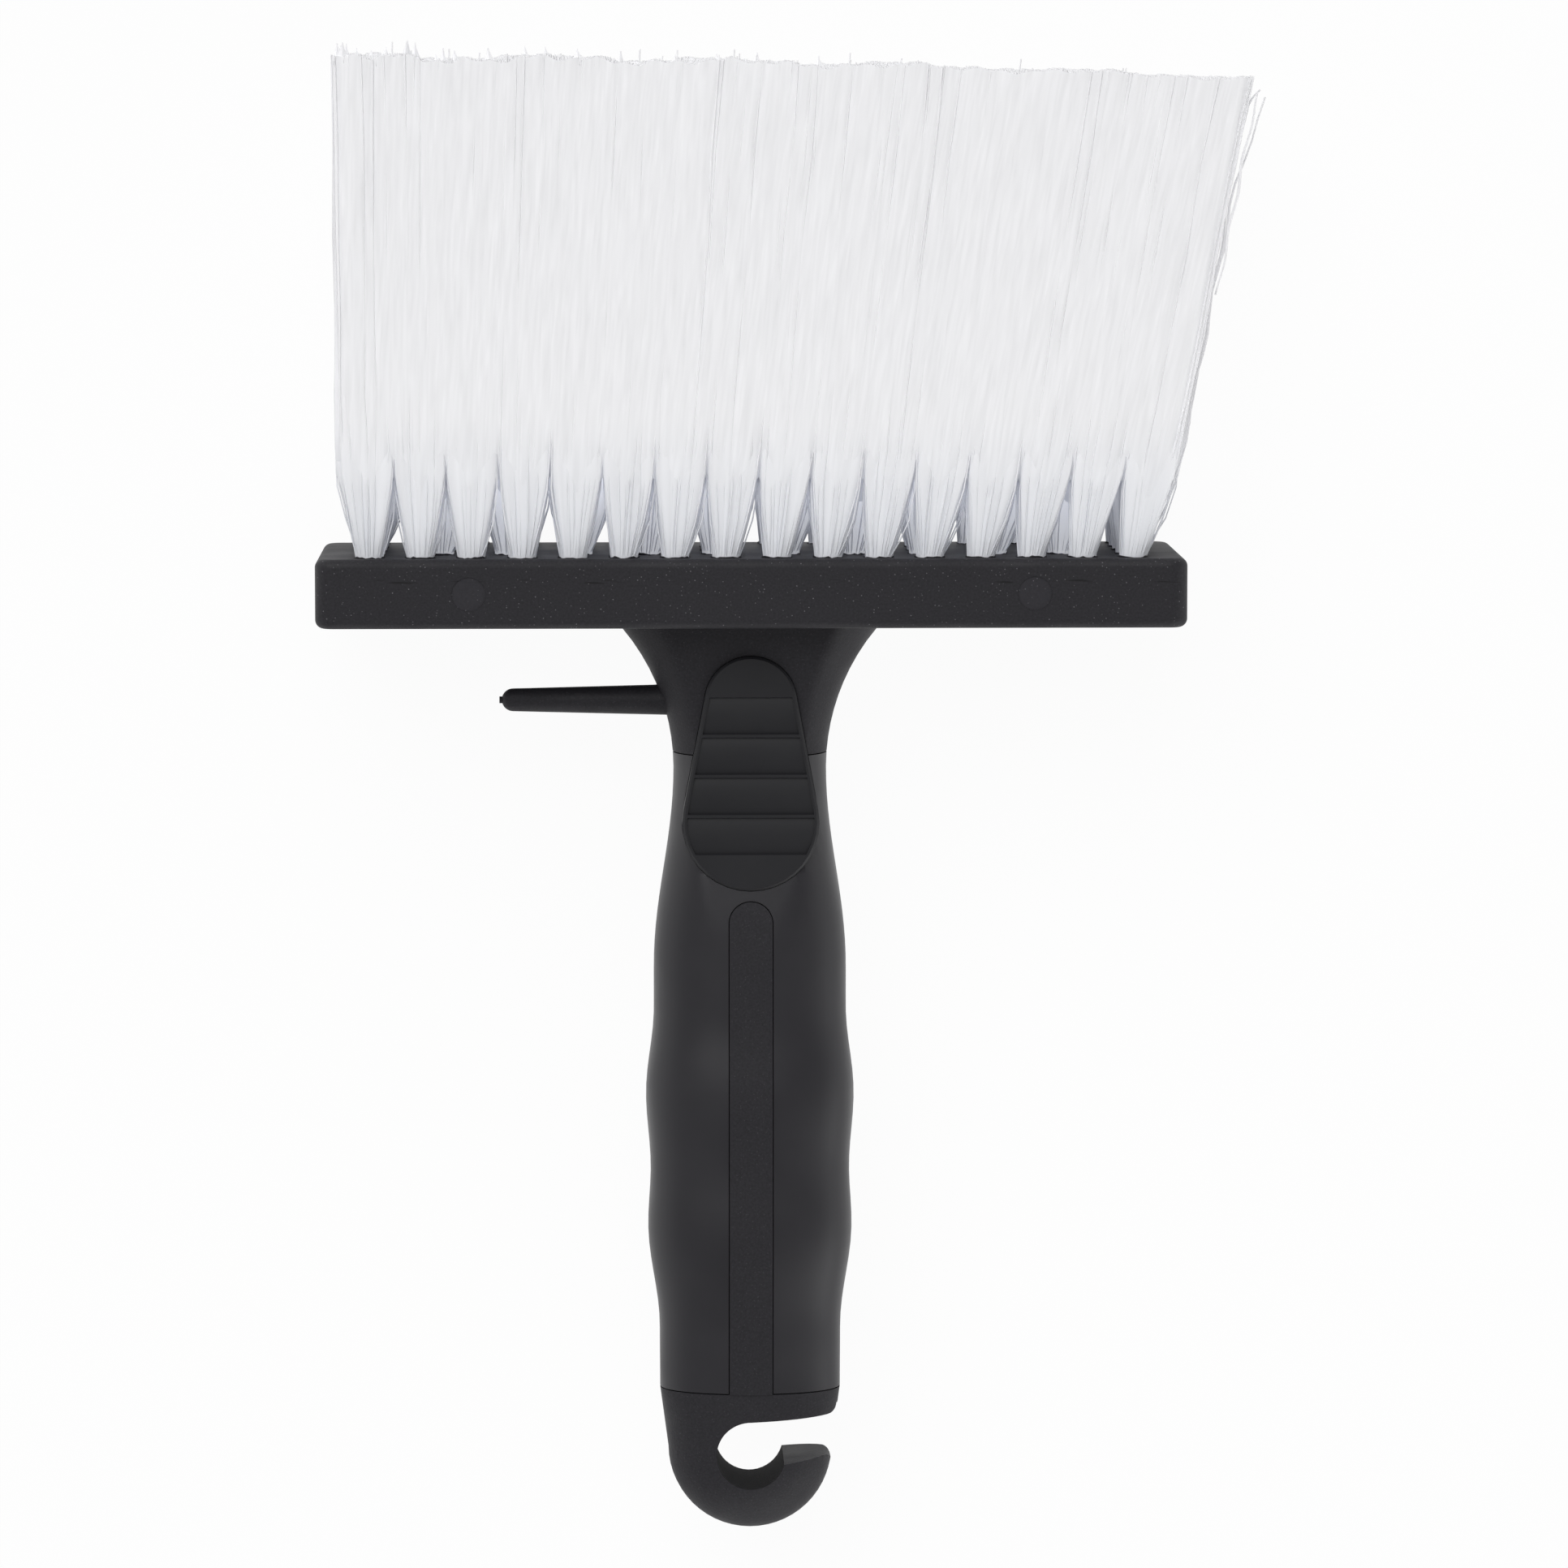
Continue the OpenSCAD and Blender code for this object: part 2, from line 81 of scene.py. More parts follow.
# The band of flow marks along the block: height and half of its width
FLOW_Y = 2.2 * MM
FLOW_HALF = 0.35 * MM
# Between these heights, below the block, the grit comes up to its full strength
GRIT_Y = (-8 * MM, -6 * MM)

# Between these heights a filament turns from the painted shade at its root to its full colour
ROOT_SHADE_Y = (6 * MM, 30 * MM)
# A face that looks up by more than this is a cut end
CUT_END = 0.8
# Strength of the painted glow on the innermost tufts
PAINTED_GLOW_LEVEL = 0.27

# Top of the block, top of the anchors and radius of a tuft at its hole
TOP_Y = 6 * MM
ANCHOR_TOP_Y = -0.2 * MM
HOLE_R = 2.4 * MM
# Filaments stay between these depths, inside the block's
LOW_Z = 0.6 * MM
HIGH_Z = 43.4 * MM
# How fast a tuft spreads above its hole
FLARE_POWER = 1.2
# Each row is cut this much shorter than the first
ROW_SHORT = np.array([0, 0.36, 0.24, 0.42, 0.3]) * MM
# Waves of the cut tips along a row: share of the wave's size, length in mm, turn from row to row
TIP_WAVES = ((0.4, 31, 0.2), (0.35, 11, 0.9), (0.25, 4.6, 2.4))
# Size of the waves at the left end, and what it loses to the right end
WAVE_LEFT = 1.4
WAVE_LOSS = 0.8

# Shares of a filament's height above the block at which it has a point
LONG_LEVELS = np.array([0, 0.03, 0.075, 0.14, 0.22, 0.33, 0.47, 0.64, 0.82, 1])
TIP_LEVELS = np.array([0.985, 1])
# Rings of a tuft's unit disc that hold the long filaments and the tips
LONG_RING = (0.95, 1.0)
TIP_RING = (0, 0.94)
# Groups of filaments in a tuft that stray as one
GROUPS = 14
# Share of the long filaments that were cut too long, and by how much in mm
LONG_TIP_SHARE = 0.008
LONG_TIP_MORE = (0.6, 2.4)
# Filaments beyond this place in a tuft are on its right flank, and bulge this many times as far
FLANK = 0.7
FLANK_SPLAY = 2.2
# Crimp: height at which it is full, rise per radian of its waves, shares of sizes in depth
CRIMP_FULL = 8 * MM
CRIMP_ALONG = 4.1 * MM
CRIMP_GROUP = 7.3 * MM
CRIMP_DEEP = 5.2 * MM
DEEP_CRIMP_SHARE = 0.3
DEEP_STRAY_SHARE = 0.5

# Loose bundles at the right end: start and end as shares of the height, waves, swing and
# flick out in mm, place across the tuft
LOOSE_BUNDLES = (
    (0.15, 0.96, 4, 0.7, 2.6, 0.3), (0.3, 0.75, 2, 0.6, 0, -0.2), (0.55, 0.97, 3, 0.5, 0.4, 0.6),
    (0.86, 0.975, 0.5, 0.3, 1.5, 0.1))
LOOSE_ROW = 1
LOOSE_POINTS = 19
# Distance of a bundle's filaments, in filaments
LOOSE_GAP = 0.6

# Hearts, the lower bodies of the tufts: faces, top and start of the taper as shares of the height
HEART_SIDES = 60
HEART_RINGS = 14
HEART_TOP = 0.34
HEART_SINK = 0.17
HEART_TAPER = 0.6
# Rings stand closer together near the block by this power
HEART_CROWD = 1.3
# Reach of a heart in its tuft's unit disc and depth of the flutes in it
HEART_REACH = 0.985
FLUTE_DEPTH = 0.022
# Layers of noise, each a frequency and a size
FLUTES = ((5, 1), (12, 0.7))
HEART_TONE = ((20, 0.7),)

# Mass, the upper body of a row: spacing of its points, rings, lowest level and climb between tufts
MASS_STEP = 0.33 * MM
MASS_RINGS = 20
MASS_LOW = 0.08
MASS_CLIMB = 0.085
CLIMB_POWER = 1.5
# How far the mass stops short of the tips, and how far rows run into each other
MASS_SHORT = 0.1 * MM
ROW_OVERLAP = 0.35 * MM
# Below this share of its height the mass thins, by this share at its lower edge
THIN_BELOW = 0.14
THIN_BY = 0.5
# The ends of the outer rows round off beyond this share of the half length
ROUND_FROM = 0.97
ROUND_BY = 0.25
# Strands of the mass: noise steps along half a row and up it, sway in steps, rise per radian of it
STRANDS_ALONG = 78
STRANDS_UP = 5
STRAND_SWAY = 0.5
SWAY_WAVE = 9 * MM
MASS_RELIEF = ((0.7, 1), (2, 0.7))
MASS_TONE = ((1.3, 0.5), (3.1, 0.6))
# Share of the relief at the lower edge
RELIEF_LOW = 0.3

# Wisps, clumps that stand up from the cut in points
WISP_ROWS = (1, 3)
WISPS = 18
WISP_HIGH = (0.8 * MM, 2.4 * MM)
WISP_WIDE = (0.6 * MM, 1.2 * MM)
WISP_LEAN = 0.3 * MM
WISP_SUNK = 0.4 * MM
WISP_POINT = 0.08 * MM
WISP_TAPER = 1.5
WISP_SIDES = 6
WISP_RINGS = 4
WISP_TONE = 0.6
# Share of the row that has them, how strongly they crowd to its left end, and share of its depth
WISP_SPAN = 0.55
WISP_CROWD = 1.8
WISP_DEEP = 0.7

# Burrs round the tuft holes
BURR_R = 2.55 * MM
BURR_WALL = 0.12 * MM
BURR_SUNK = 0.1 * MM
BURR_SIDES = 28
BURR_WANDER = 0.12 * MM
# Height of a burr as a share of the rim's: middle, range and layers of noise
BURR_MIDDLE = 0.45
BURR_RANGE = (0.1, 1.2)
BURR_NOISE = ((0.9, 0.9), (2.3, 0.6))
BURR_WANDER_NOISE = ((1.7, 1),)

# Stage: floor, key light and camera
FLOOR_HALF = 4.0
FLOOR_Z = -0.2 * MM
KEY_STRENGTH = 1.78
KEY_SPREAD = math.radians(50)
KEY_TRAVEL = Vector((0.3, -0.75, -1.0))
CAMERA_SENSOR = 36
CAMERA_LENS = 168
CAMERA_CLIP = (0.05, 20)
CAMERA_STAND = Vector((-25, 97, 1295)) * MM
CAMERA_AIM = Vector((6, -35, 22)) * MM
# Directions of the tent's bright side and of its weaker fill
TENT_SIDE = (0.5, -0.87, 0)
TENT_FILL = (-0.85, 0.5, 0.15)
# Light goes to and fro many times between the white tufts
DIFFUSE_BOUNCES = 12
MAX_BOUNCES = 16
WHITE = (1, 1, 1, 1)


def linear(hex_colour):
    """Linear RGB of an sRGB hex colour."""
    channels = [int(hex_colour[i:i + 2], 16) / 255 for i in (1, 3, 5)]
    return tuple(c / 12.92 if c <= 0.04045 else ((c + 0.055) / 1.055) ** 2.4 for c in channels)


def length(title, text, default):
    """A property for a size, given in millimetres and kept in metres."""
    return bpy.props.FloatProperty(
        name=title, description=text, default=default * MM, unit="LENGTH", precision=5)


def colour(title, text, hex_colour):
    """A property for a colour."""
    return bpy.props.FloatVectorProperty(
        name=title, description=text, default=linear(hex_colour), subtype="COLOR", min=0, max=1)


class BrushSizes(bpy.types.PropertyGroup):
    """Sizes that a user would change."""
    bristle_length: length("Bristle length", "Bristle above the block at the left end", 85.5)
    tip_drop: length("Tip drop", "How much shorter the bristles are at the right end", 3.6)
    tips_length: length("Length at the tips", "Length of a row of tufts at the tips", 157.1)
    lean: length("Lean", "How far the tips lean to the right", 7.1)
    flare_height: length("Flare height", "Height at which the tufts have spread", 16)
    filament: length("Filament", "Thickness of one filament", 0.24)
    crimp: length("Crimp", "How far a filament waves to either side", 0.3)
    stray: length("Stray", "How far a filament's tip strays to the side", 0.3)
    splay: length("Splay", "How far loose filaments bulge out of a tuft below the flare", 0.4)
    bury: length("Bury", "How deep loose filaments lie in the mass above the flare", 0.2)
    tip_stray: length("Tip stray", "How far filament tips stray up or down", 0.08)
    tip_wave: length("Tip wave", "How far the cut tips rise and fall along a row", 0.85)
    relief: length("Relief", "Depth of the furrows between strands where the tufts have met", 0.11)
    rim_height: length("Rim height", "Height of the burr round a tuft hole", 0.35)
    long_filaments: bpy.props.IntProperty(
        name="Long filaments", default=30,
        description="Filaments round a tuft, modelled over their whole length")
    tip_filaments: bpy.props.IntProperty(
        name="Tip filaments", default=450,
        description="Filaments inside a tuft, modelled at the tips")
    outer_tufts: bpy.props.IntProperty(
        name="Outer tufts", default=16, description="Tufts in each of the two outer rows")
    inner_tufts: bpy.props.IntProperty(
        name="Inner tufts", default=12, description="Tufts in each of the three inner rows")


class BrushColours(bpy.types.PropertyGroup):
    """Colours that a user would change."""
    stock: colour("Stock", "Moulded polypropylene", "#232226")
    stock_speck: colour("Stock speck", "Pale grit in the moulded polypropylene", "#6B6A6E")
    grip: colour("Grip", "Soft grip", "#252428")
    pad: colour("Thumb pad", "Ridged thumb pad", "#1E1E21")
    bristle: colour("Bristle", "Filament above the flare", "#F8F8FA")
    # Painted shade: the root colour is darker and bluer, standing in for the shade where the tufts
    # are packed; half of it is the painted shade between cut ends
    bristle_root_shade: colour("Bristle root", "Filament where the tufts are packed", "#EEF0F5")
    wire: colour("Wire", "Anchor wire", "#A3A5A9")
    floor: colour("Floor", "Studio floor", "#E6E6E6")


def add_node(tree, kind, links=None, inputs=None, **settings):
    """Adds a node with its settings, constant inputs and links from other sockets."""
    made = tree.nodes.new(kind)
    for key, value in settings.items():
        setattr(made, key, value)
    for key, value in (inputs or {}).items():
        made.inputs[key].default_value = value
    for key, socket in (links or {}).items():
        tree.links.new(socket, made.inputs[key])
    return made


def new_material(title):
    """An empty node material: the material, its tree and its object coordinates."""
    material = bpy.data.materials.new(title)
    material.use_nodes = True
    tree = material.node_tree
    tree.nodes.clear()
    place = add_node(tree, "ShaderNodeTexCoord").outputs["Object"]
    return material, tree, place


def close_material(tree, links, inputs):
    """Ends a material in one Principled shader."""
    shader = add_node(tree, "ShaderNodeBsdfPrincipled", links, inputs)
    add_node(tree, "ShaderNodeOutputMaterial", {"Surface": shader.outputs["BSDF"]})


def per(size_mm):
    """Texture scale at which one feature has this size in millimetres."""
    return 1 / (size_mm * MM)


def rgba(tint, share=1):
    """A tint at a share of its brightness, as a node's colour."""
    return (*(c * share for c in tint), 1)


def with_grit(tree, place, axes, below, colours):
    """A colour with grit: a pale speck of 0.2 mm in most cells of 0.7 mm, some paler than others."""
    cells = add_node(
        tree, "ShaderNodeTexVoronoi", {"Vector": place}, {"Scale": per(0.7)}, feature="F1")
    near = add_node(
        tree, "ShaderNodeMapRange", {"Value": cells.outputs["Distance"]},
        {"From Min": 0.1, "From Max": 0.18, "To Min": 1.0, "To Max": 0.0})
    chosen = add_node(tree, "ShaderNodeSeparateColor", {"Color": cells.outputs["Color"]})
    share = add_node(
        tree, "ShaderNodeMapRange", {"Value": chosen.outputs["Red"]},
        {"From Min": 0.3, "From Max": 1.0, "To Min": 0.0, "To Max": 0.85})
    # The grit shows on the block and hardly on the handle
    shown = add_node(
        tree, "ShaderNodeMapRange", {"Value": axes["Y"], "To Max": share.outputs["Result"]},
        {"From Min": GRIT_Y[0], "From Max": GRIT_Y[1], "To Min": 0.12})
    speck = add_node(
        tree, "ShaderNodeMath", {0: near.outputs["Result"], 1: shown.outputs["Result"]},
        operation="MULTIPLY")
    spotted = add_node(
        tree, "ShaderNodeMixRGB", {"Fac": speck.outputs["Value"], "Color1": below},
        {"Color2": rgba(colours.stock_speck)})
    return spotted.outputs["Color"]


def with_parting_line(tree, axes, below, colours):
    """A colour with the dark line where the halves of the mould meet, at mid-depth."""
    parted = add_node(
        tree, "ShaderNodeMath", {0: axes["Z"]}, {1: PARTING_Z, 2: PARTING_HALF},
        operation="COMPARE")
    lined = add_node(
        tree, "ShaderNodeMixRGB", {"Fac": parted.outputs["Value"], "Color1": below},
        {"Color2": rgba(colours.stock, 0.4)})
    return lined.outputs["Color"]


def with_flow_marks(tree, place, axes, below, colours):
    """A colour with flow marks: short dark dashes along the block, where the melt fronts met."""
    flow = add_node(tree, "ShaderNodeMapping", {"Vector": place}, {"Scale": (0.1, 1.0, 0.1)})
    dashes = add_node(
        tree, "ShaderNodeTexNoise", {"Vector": flow.outputs["Vector"]},
        {"Scale": per(0.6), "Detail": 1.0})
    strong = add_node(
        tree, "ShaderNodeMapRange", {"Value": dashes.outputs["Fac"]},
        {"From Min": 0.6, "From Max": 0.72})
    level = add_node(
        tree, "ShaderNodeMath", {0: axes["Y"]}, {1: FLOW_Y, 2: FLOW_HALF}, operation="COMPARE")
    dark = add_node(
        tree, "ShaderNodeMath", {0: strong.outputs["Result"], 1: level.outputs["Value"]},
        operation="MULTIPLY")
    streaked = add_node(
        tree, "ShaderNodeMixRGB", {"Fac": dark.outputs["Value"], "Color1": below},
        {"Color2": rgba(colours.stock, 0.3)})
    return streaked.outputs["Color"]


def with_ejector_discs(tree, axes, below, colours):
    """A colour with the paler disc that an ejector pin leaves near either end of the front."""
    beside = add_node(tree, "ShaderNodeMath", {0: axes["X"]}, operation="ABSOLUTE")
    spot = add_node(
        tree, "ShaderNodeCombineXYZ", {"X": beside.outputs["Value"], "Y": axes["Y"]})
    from_pin = add_node(
        tree, "ShaderNodeVectorMath", {0: spot.outputs["Vector"]}, {1: (PIN_X, 0, 0)},
        operation="DISTANCE")
    disc = add_node(
        tree, "ShaderNodeMapRange", {"Value": from_pin.outputs["Value"]},
        {"From Min": PIN_R - PIN_EDGE, "From Max": PIN_R, "To Min": 0.35, "To Max": 0.0})
    front = add_node(
        tree, "ShaderNodeMath", {0: axes["Z"]}, {1: FRONT_Z}, operation="GREATER_THAN")
    pale = add_node(
        tree, "ShaderNodeMath", {0: disc.outputs["Result"], 1: front.outputs["Value"]},
        operation="MULTIPLY")
    marked = add_node(
        tree, "ShaderNodeMixRGB", {"Fac": pale.outputs["Value"], "Color1": below},
        {"Color2": rgba(colours.stock, 2)})
    return marked.outputs["Color"]


def on_eye_wall(tree, axes):
    """A mask of the wall of the hook's eye, where shade is painted and the roughness is raised."""
    flat = add_node(tree, "ShaderNodeCombineXYZ", {"X": axes["X"], "Y": axes["Y"]})
    from_eye = add_node(
        tree, "ShaderNodeVectorMath", {0: flat.outputs["Vector"]}, {1: (0, EYE_Y, 0)},
        operation="DISTANCE")
    within = add_node(
        tree, "ShaderNodeMath", {0: from_eye.outputs["Value"]}, {1: EYE_WALL_R},
        operation="LESS_THAN")
    return within.outputs["Value"]


def moulded_polypropylene(colours):
    """Black polypropylene from a spark-eroded mould: dull, fine-grained, with grit, marks and
    painted shade in the hook's eye.
    """
    material, tree, place = new_material("moulded_polypropylene_black")
    axes = add_node(tree, "ShaderNodeSeparateXYZ", {"Vector": place}).outputs
    # The mould's grain is about 0.15 mm and is drawn at 0.4 mm, the finest that shows
    grain = add_node(
        tree, "ShaderNodeTexNoise", {"Vector": place}, {"Scale": per(0.4), "Detail": 2.0})
    grained = add_node(
        tree, "ShaderNodeMixRGB", {"Fac": grain.outputs["Fac"]},
        {"Color1": rgba(colours.stock, 0.5), "Color2": rgba(colours.stock, 1.5)})
    tone = with_grit(tree, place, axes, grained.outputs["Color"], colours)
    tone = with_parting_line(tree, axes, tone, colours)
    tone = with_flow_marks(tree, place, axes, tone, colours)
    tone = with_ejector_discs(tree, axes, tone, colours)
    # Painted shade: the wall of the hook's eye is darkened to stand in for the shade inside it, and
    # it is also duller than the rest
    wall = on_eye_wall(tree, axes)
    eye_wall_painted_shade = add_node(
        tree, "ShaderNodeMixRGB", {"Fac": wall, "Color1": tone},
        {"Color2": rgba(colours.stock, 0.3)})
    cloud = add_node(
        tree, "ShaderNodeTexNoise", {"Vector": place}, {"Scale": per(9), "Detail": 3.0})
    rough = add_node(
        tree, "ShaderNodeMapRange", {"Value": cloud.outputs["Fac"]},
        {"From Min": 0.3, "From Max": 0.7, "To Min": 0.54, "To Max": 0.66})
    dull = add_node(
        tree, "ShaderNodeMapRange", {"Value": wall, "To Min": rough.outputs["Result"]},
        {"To Max": 0.95})
    bump = add_node(
        tree, "ShaderNodeBump", {"Height": grain.outputs["Fac"]},
        {"Strength": 0.6, "Distance": 0.08 * MM})
    close_material(
        tree,
        {"Base Color": eye_wall_painted_shade.outputs["Color"], "Roughness": dull.outputs["Result"],
         "Normal": bump.outputs["Normal"]},
        {"IOR": 1.49, "Specular IOR Level": 0.28})
    return material


def moulded_elastomer(title, tint, roughness, shine):
    """Soft elastomer from a polished mould: satin, with the faint smears that handling leaves."""
    material, tree, place = new_material(title)
    grain = add_node(
        tree, "ShaderNodeTexNoise", {"Vector": place}, {"Scale": per(0.5), "Detail": 2.0})
    smear = add_node(
        tree, "ShaderNodeTexNoise", {"Vector": place}, {"Scale": per(14), "Detail": 4.0})
    tone = add_node(
        tree, "ShaderNodeMixRGB", {"Fac": smear.outputs["Fac"]},
        {"Color1": rgba(tint, 0.88), "Color2": rgba(tint, 1.12)})
    rough = add_node(
        tree, "ShaderNodeMapRange", {"Value": smear.outputs["Fac"]},
        {"From Min": 0.3, "From Max": 0.7, "To Min": roughness - 0.05, "To Max": roughness + 0.05})
    bump = add_node(
        tree, "ShaderNodeBump", {"Height": grain.outputs["Fac"]},
        {"Strength": 0.08, "Distance": 0.05 * MM})
    close_material(
        tree,
        {"Base Color": tone.outputs["Color"], "Roughness": rough.outputs["Result"],
         "Normal": bump.outputs["Normal"]},
        {"IOR": 1.5, "Specular IOR Level": shine})
    return material


def with_painted_end_shade(tree, place, below, colours):
    """A colour with painted shade in the gaps between cut ends: filaments of 0.25 mm, drawn at 0.7
    mm to show.
    """
    ends = add_node(
        tree, "ShaderNodeTexVoronoi", {"Vector": place}, {"Scale": per(0.7)}, feature="F1")
    end_gap_painted_shade = add_node(
        tree, "ShaderNodeMapRange", {"Value": ends.outputs["Distance"]},
        {"From Min": 0.3, "From Max": 0.75, "To Min": 0.0, "To Max": 0.4})
    surface = add_node(tree, "ShaderNodeNewGeometry")
    facing = add_node(tree, "ShaderNodeSeparateXYZ", {"Vector": surface.outputs["Normal"]})
    cut = add_node(
        tree, "ShaderNodeMath", {0: facing.outputs["Y"]}, {1: CUT_END}, operation="GREATER_THAN")
    # Painted shade between the cut ends, only on faces that look up
    dark = add_node(
        tree, "ShaderNodeMath", {0: end_gap_painted_shade.outputs["Result"], 1: cut.outputs["Value"]},
        operation="MULTIPLY")
    dotted = add_node(
        tree, "ShaderNodeMixRGB", {"Fac": dark.outputs["Value"], "Color1": below},
        {"Color2": rgba(colours.bristle_root_shade, 0.5)})
    return dotted.outputs["Color"]


def drawn_filament(colours):
    """Drawn, crimped polyester filament: milky white, each its own tone, with painted shade at its
    root and between cut ends, and a painted glow inside the brush.
    """
    material, tree, place = new_material("drawn_polyester_filament")
    strand = add_node(tree, "ShaderNodeAttribute", attribute_name="strand")
    axes = add_node(tree, "ShaderNodeSeparateXYZ", {"Vector": place}).outputs
    # Painted shade: darker and bluer towards the root
    rise = add_node(
        tree, "ShaderNodeMapRange", {"Value": axes["Y"]},
        {"From Min": ROOT_SHADE_Y[0], "From Max": ROOT_SHADE_Y[1], "To Min": 0.0, "To Max": 1.0})
    tone = add_node(
        tree, "ShaderNodeMixRGB", {"Fac": rise.outputs["Result"]},
        {"Color1": rgba(colours.bristle_root_shade), "Color2": rgba(colours.bristle)})
    shade = add_node(
        tree, "ShaderNodeMapRange", {"Value": strand.outputs["Fac"]},
        {"To Min": 0.9, "To Max": 1.0})
    tinted = add_node(
        tree, "ShaderNodeMixRGB",
        {"Color1": tone.outputs["Color"], "Color2": shade.outputs["Result"]},
        {"Fac": 1.0}, blend_type="MULTIPLY").outputs["Color"]
    # Painted light: the tufts inside the brush glow though no lamp is there, standing in for the
    # light that clear filaments carry into it
    inside = add_node(tree, "ShaderNodeAttribute", attribute_name="painted_glow")
    glow = add_node(
        tree, "ShaderNodeMath", {0: inside.outputs["Fac"]}, {1: PAINTED_GLOW_LEVEL}, operation="MULTIPLY")
    close_material(
        tree,
        {"Base Color": with_painted_end_shade(tree, place, tinted, colours), "Emission Color": tinted,
         "Emission Strength": glow.outputs["Value"]},
        {"IOR": 1.57, "Roughness": 0.5})
    return material


def drawn_steel(colours):
    """Drawn steel wire: bright grey with fine lines along its length."""
    material, tree, place = new_material("drawn_steel_wire")
    # Draw marks are a few hundredths of a millimetre apart and are drawn at 0.2 mm
    along = add_node(tree, "ShaderNodeMapping", {"Vector": place}, {"Scale": (0.05, 1.0, 1.0)})
    lines = add_node(
        tree, "ShaderNodeTexNoise", {"Vector": along.outputs["Vector"]}, {"Scale": per(0.2)})
    rough = add_node(
        tree, "ShaderNodeMapRange", {"Value": lines.outputs["Fac"]},
        {"To Min": 0.25, "To Max": 0.45})
    close_material(
        tree, {"Roughness": rough.outputs["Result"]},
        {"Base Color": rgba(colours.wire), "Metallic": 1.0})
    return material


def matt_paper(colours):
    """Pale matt paper: lit by the lamps, lifted to white where looked at, so shadows stay faint."""
    material, tree, _ = new_material("matt_paper_floor")
    paper = add_node(tree, "ShaderNodeBsdfDiffuse", inputs={"Color": rgba(colours.floor)})
    lift = add_node(tree, "ShaderNodeEmission", inputs={"Color": WHITE, "Strength": 1.0})
    path = add_node(tree, "ShaderNodeLightPath").outputs
    seen = path["Is Camera Ray"]
    for ray in ("Is Glossy Ray", "Is Transmission Ray"):
        seen = add_node(
            tree, "ShaderNodeMath", {0: seen, 1: path[ray]}, operation="MAXIMUM").outputs["Value"]
    part = add_node(
        tree, "ShaderNodeMapRange", {"Value": seen}, {"To Min": 0.35, "To Max": 0.95})
    mixed = add_node(
        tree, "ShaderNodeMixShader",
        {0: part.outputs["Result"], 1: paper.outputs["BSDF"], 2: lift.outputs["Emission"]})
    add_node(tree, "ShaderNodeOutputMaterial", {"Surface": mixed.outputs["Shader"]})
    return material


def piece_from(bm, title, material, smooth=True):
    """Makes an object at the origin from a bmesh."""
    mesh = bpy.data.meshes.new(title)
    bm.to_mesh(mesh)
    bm.free()
    mesh.materials.append(material)
    if smooth:
        mesh.shade_smooth()
    piece = bpy.data.objects.new(title, mesh)
    bpy.context.scene.collection.objects.link(piece)
    return piece


def merged_copy(node_name):
    """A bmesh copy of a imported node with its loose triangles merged."""
    bm = bmesh.new()
    bm.from_mesh(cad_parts[node_name].data)
    bmesh.ops.remove_doubles(bm, verts=bm.verts, dist=MOULDING_MERGE)
    bmesh.ops.dissolve_degenerate(bm, edges=bm.edges, dist=MOULDING_MERGE)
    return bm


def finish_moulding(node_name, title, material):
    """Replaces a packed moulding by a merged, smooth-shaded copy with crisp edges."""
    bm = merged_copy(node_name)
    for edge in bm.edges:
        edge.smooth = len(edge.link_faces) == 2 and edge.calc_face_angle() < SHARP_ANGLE
    for face in bm.faces:
        face.smooth = True
    piece = piece_from(bm, title, material, smooth=False)
    piece.modifiers.new("even_normals", "WEIGHTED_NORMAL").keep_sharp = True
    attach(piece, "root")
    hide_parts(node_name)


def layered_noise(spot, layers, seed=Vector((0, 0, 0))):
    """Noise at a spot, summed over layers that each have a frequency and a size."""
    return sum(size * noise.noise(spot * frequency + seed) for frequency, size in layers)


def square_from_disc(u, v):
    """Spreads points of the unit disc evenly over the unit square."""
    radius = np.hypot(u, v)
    widest = np.maximum(np.maximum(np.abs(u), np.abs(v)), 1e-6)
    return u * radius / widest, v * radius / widest


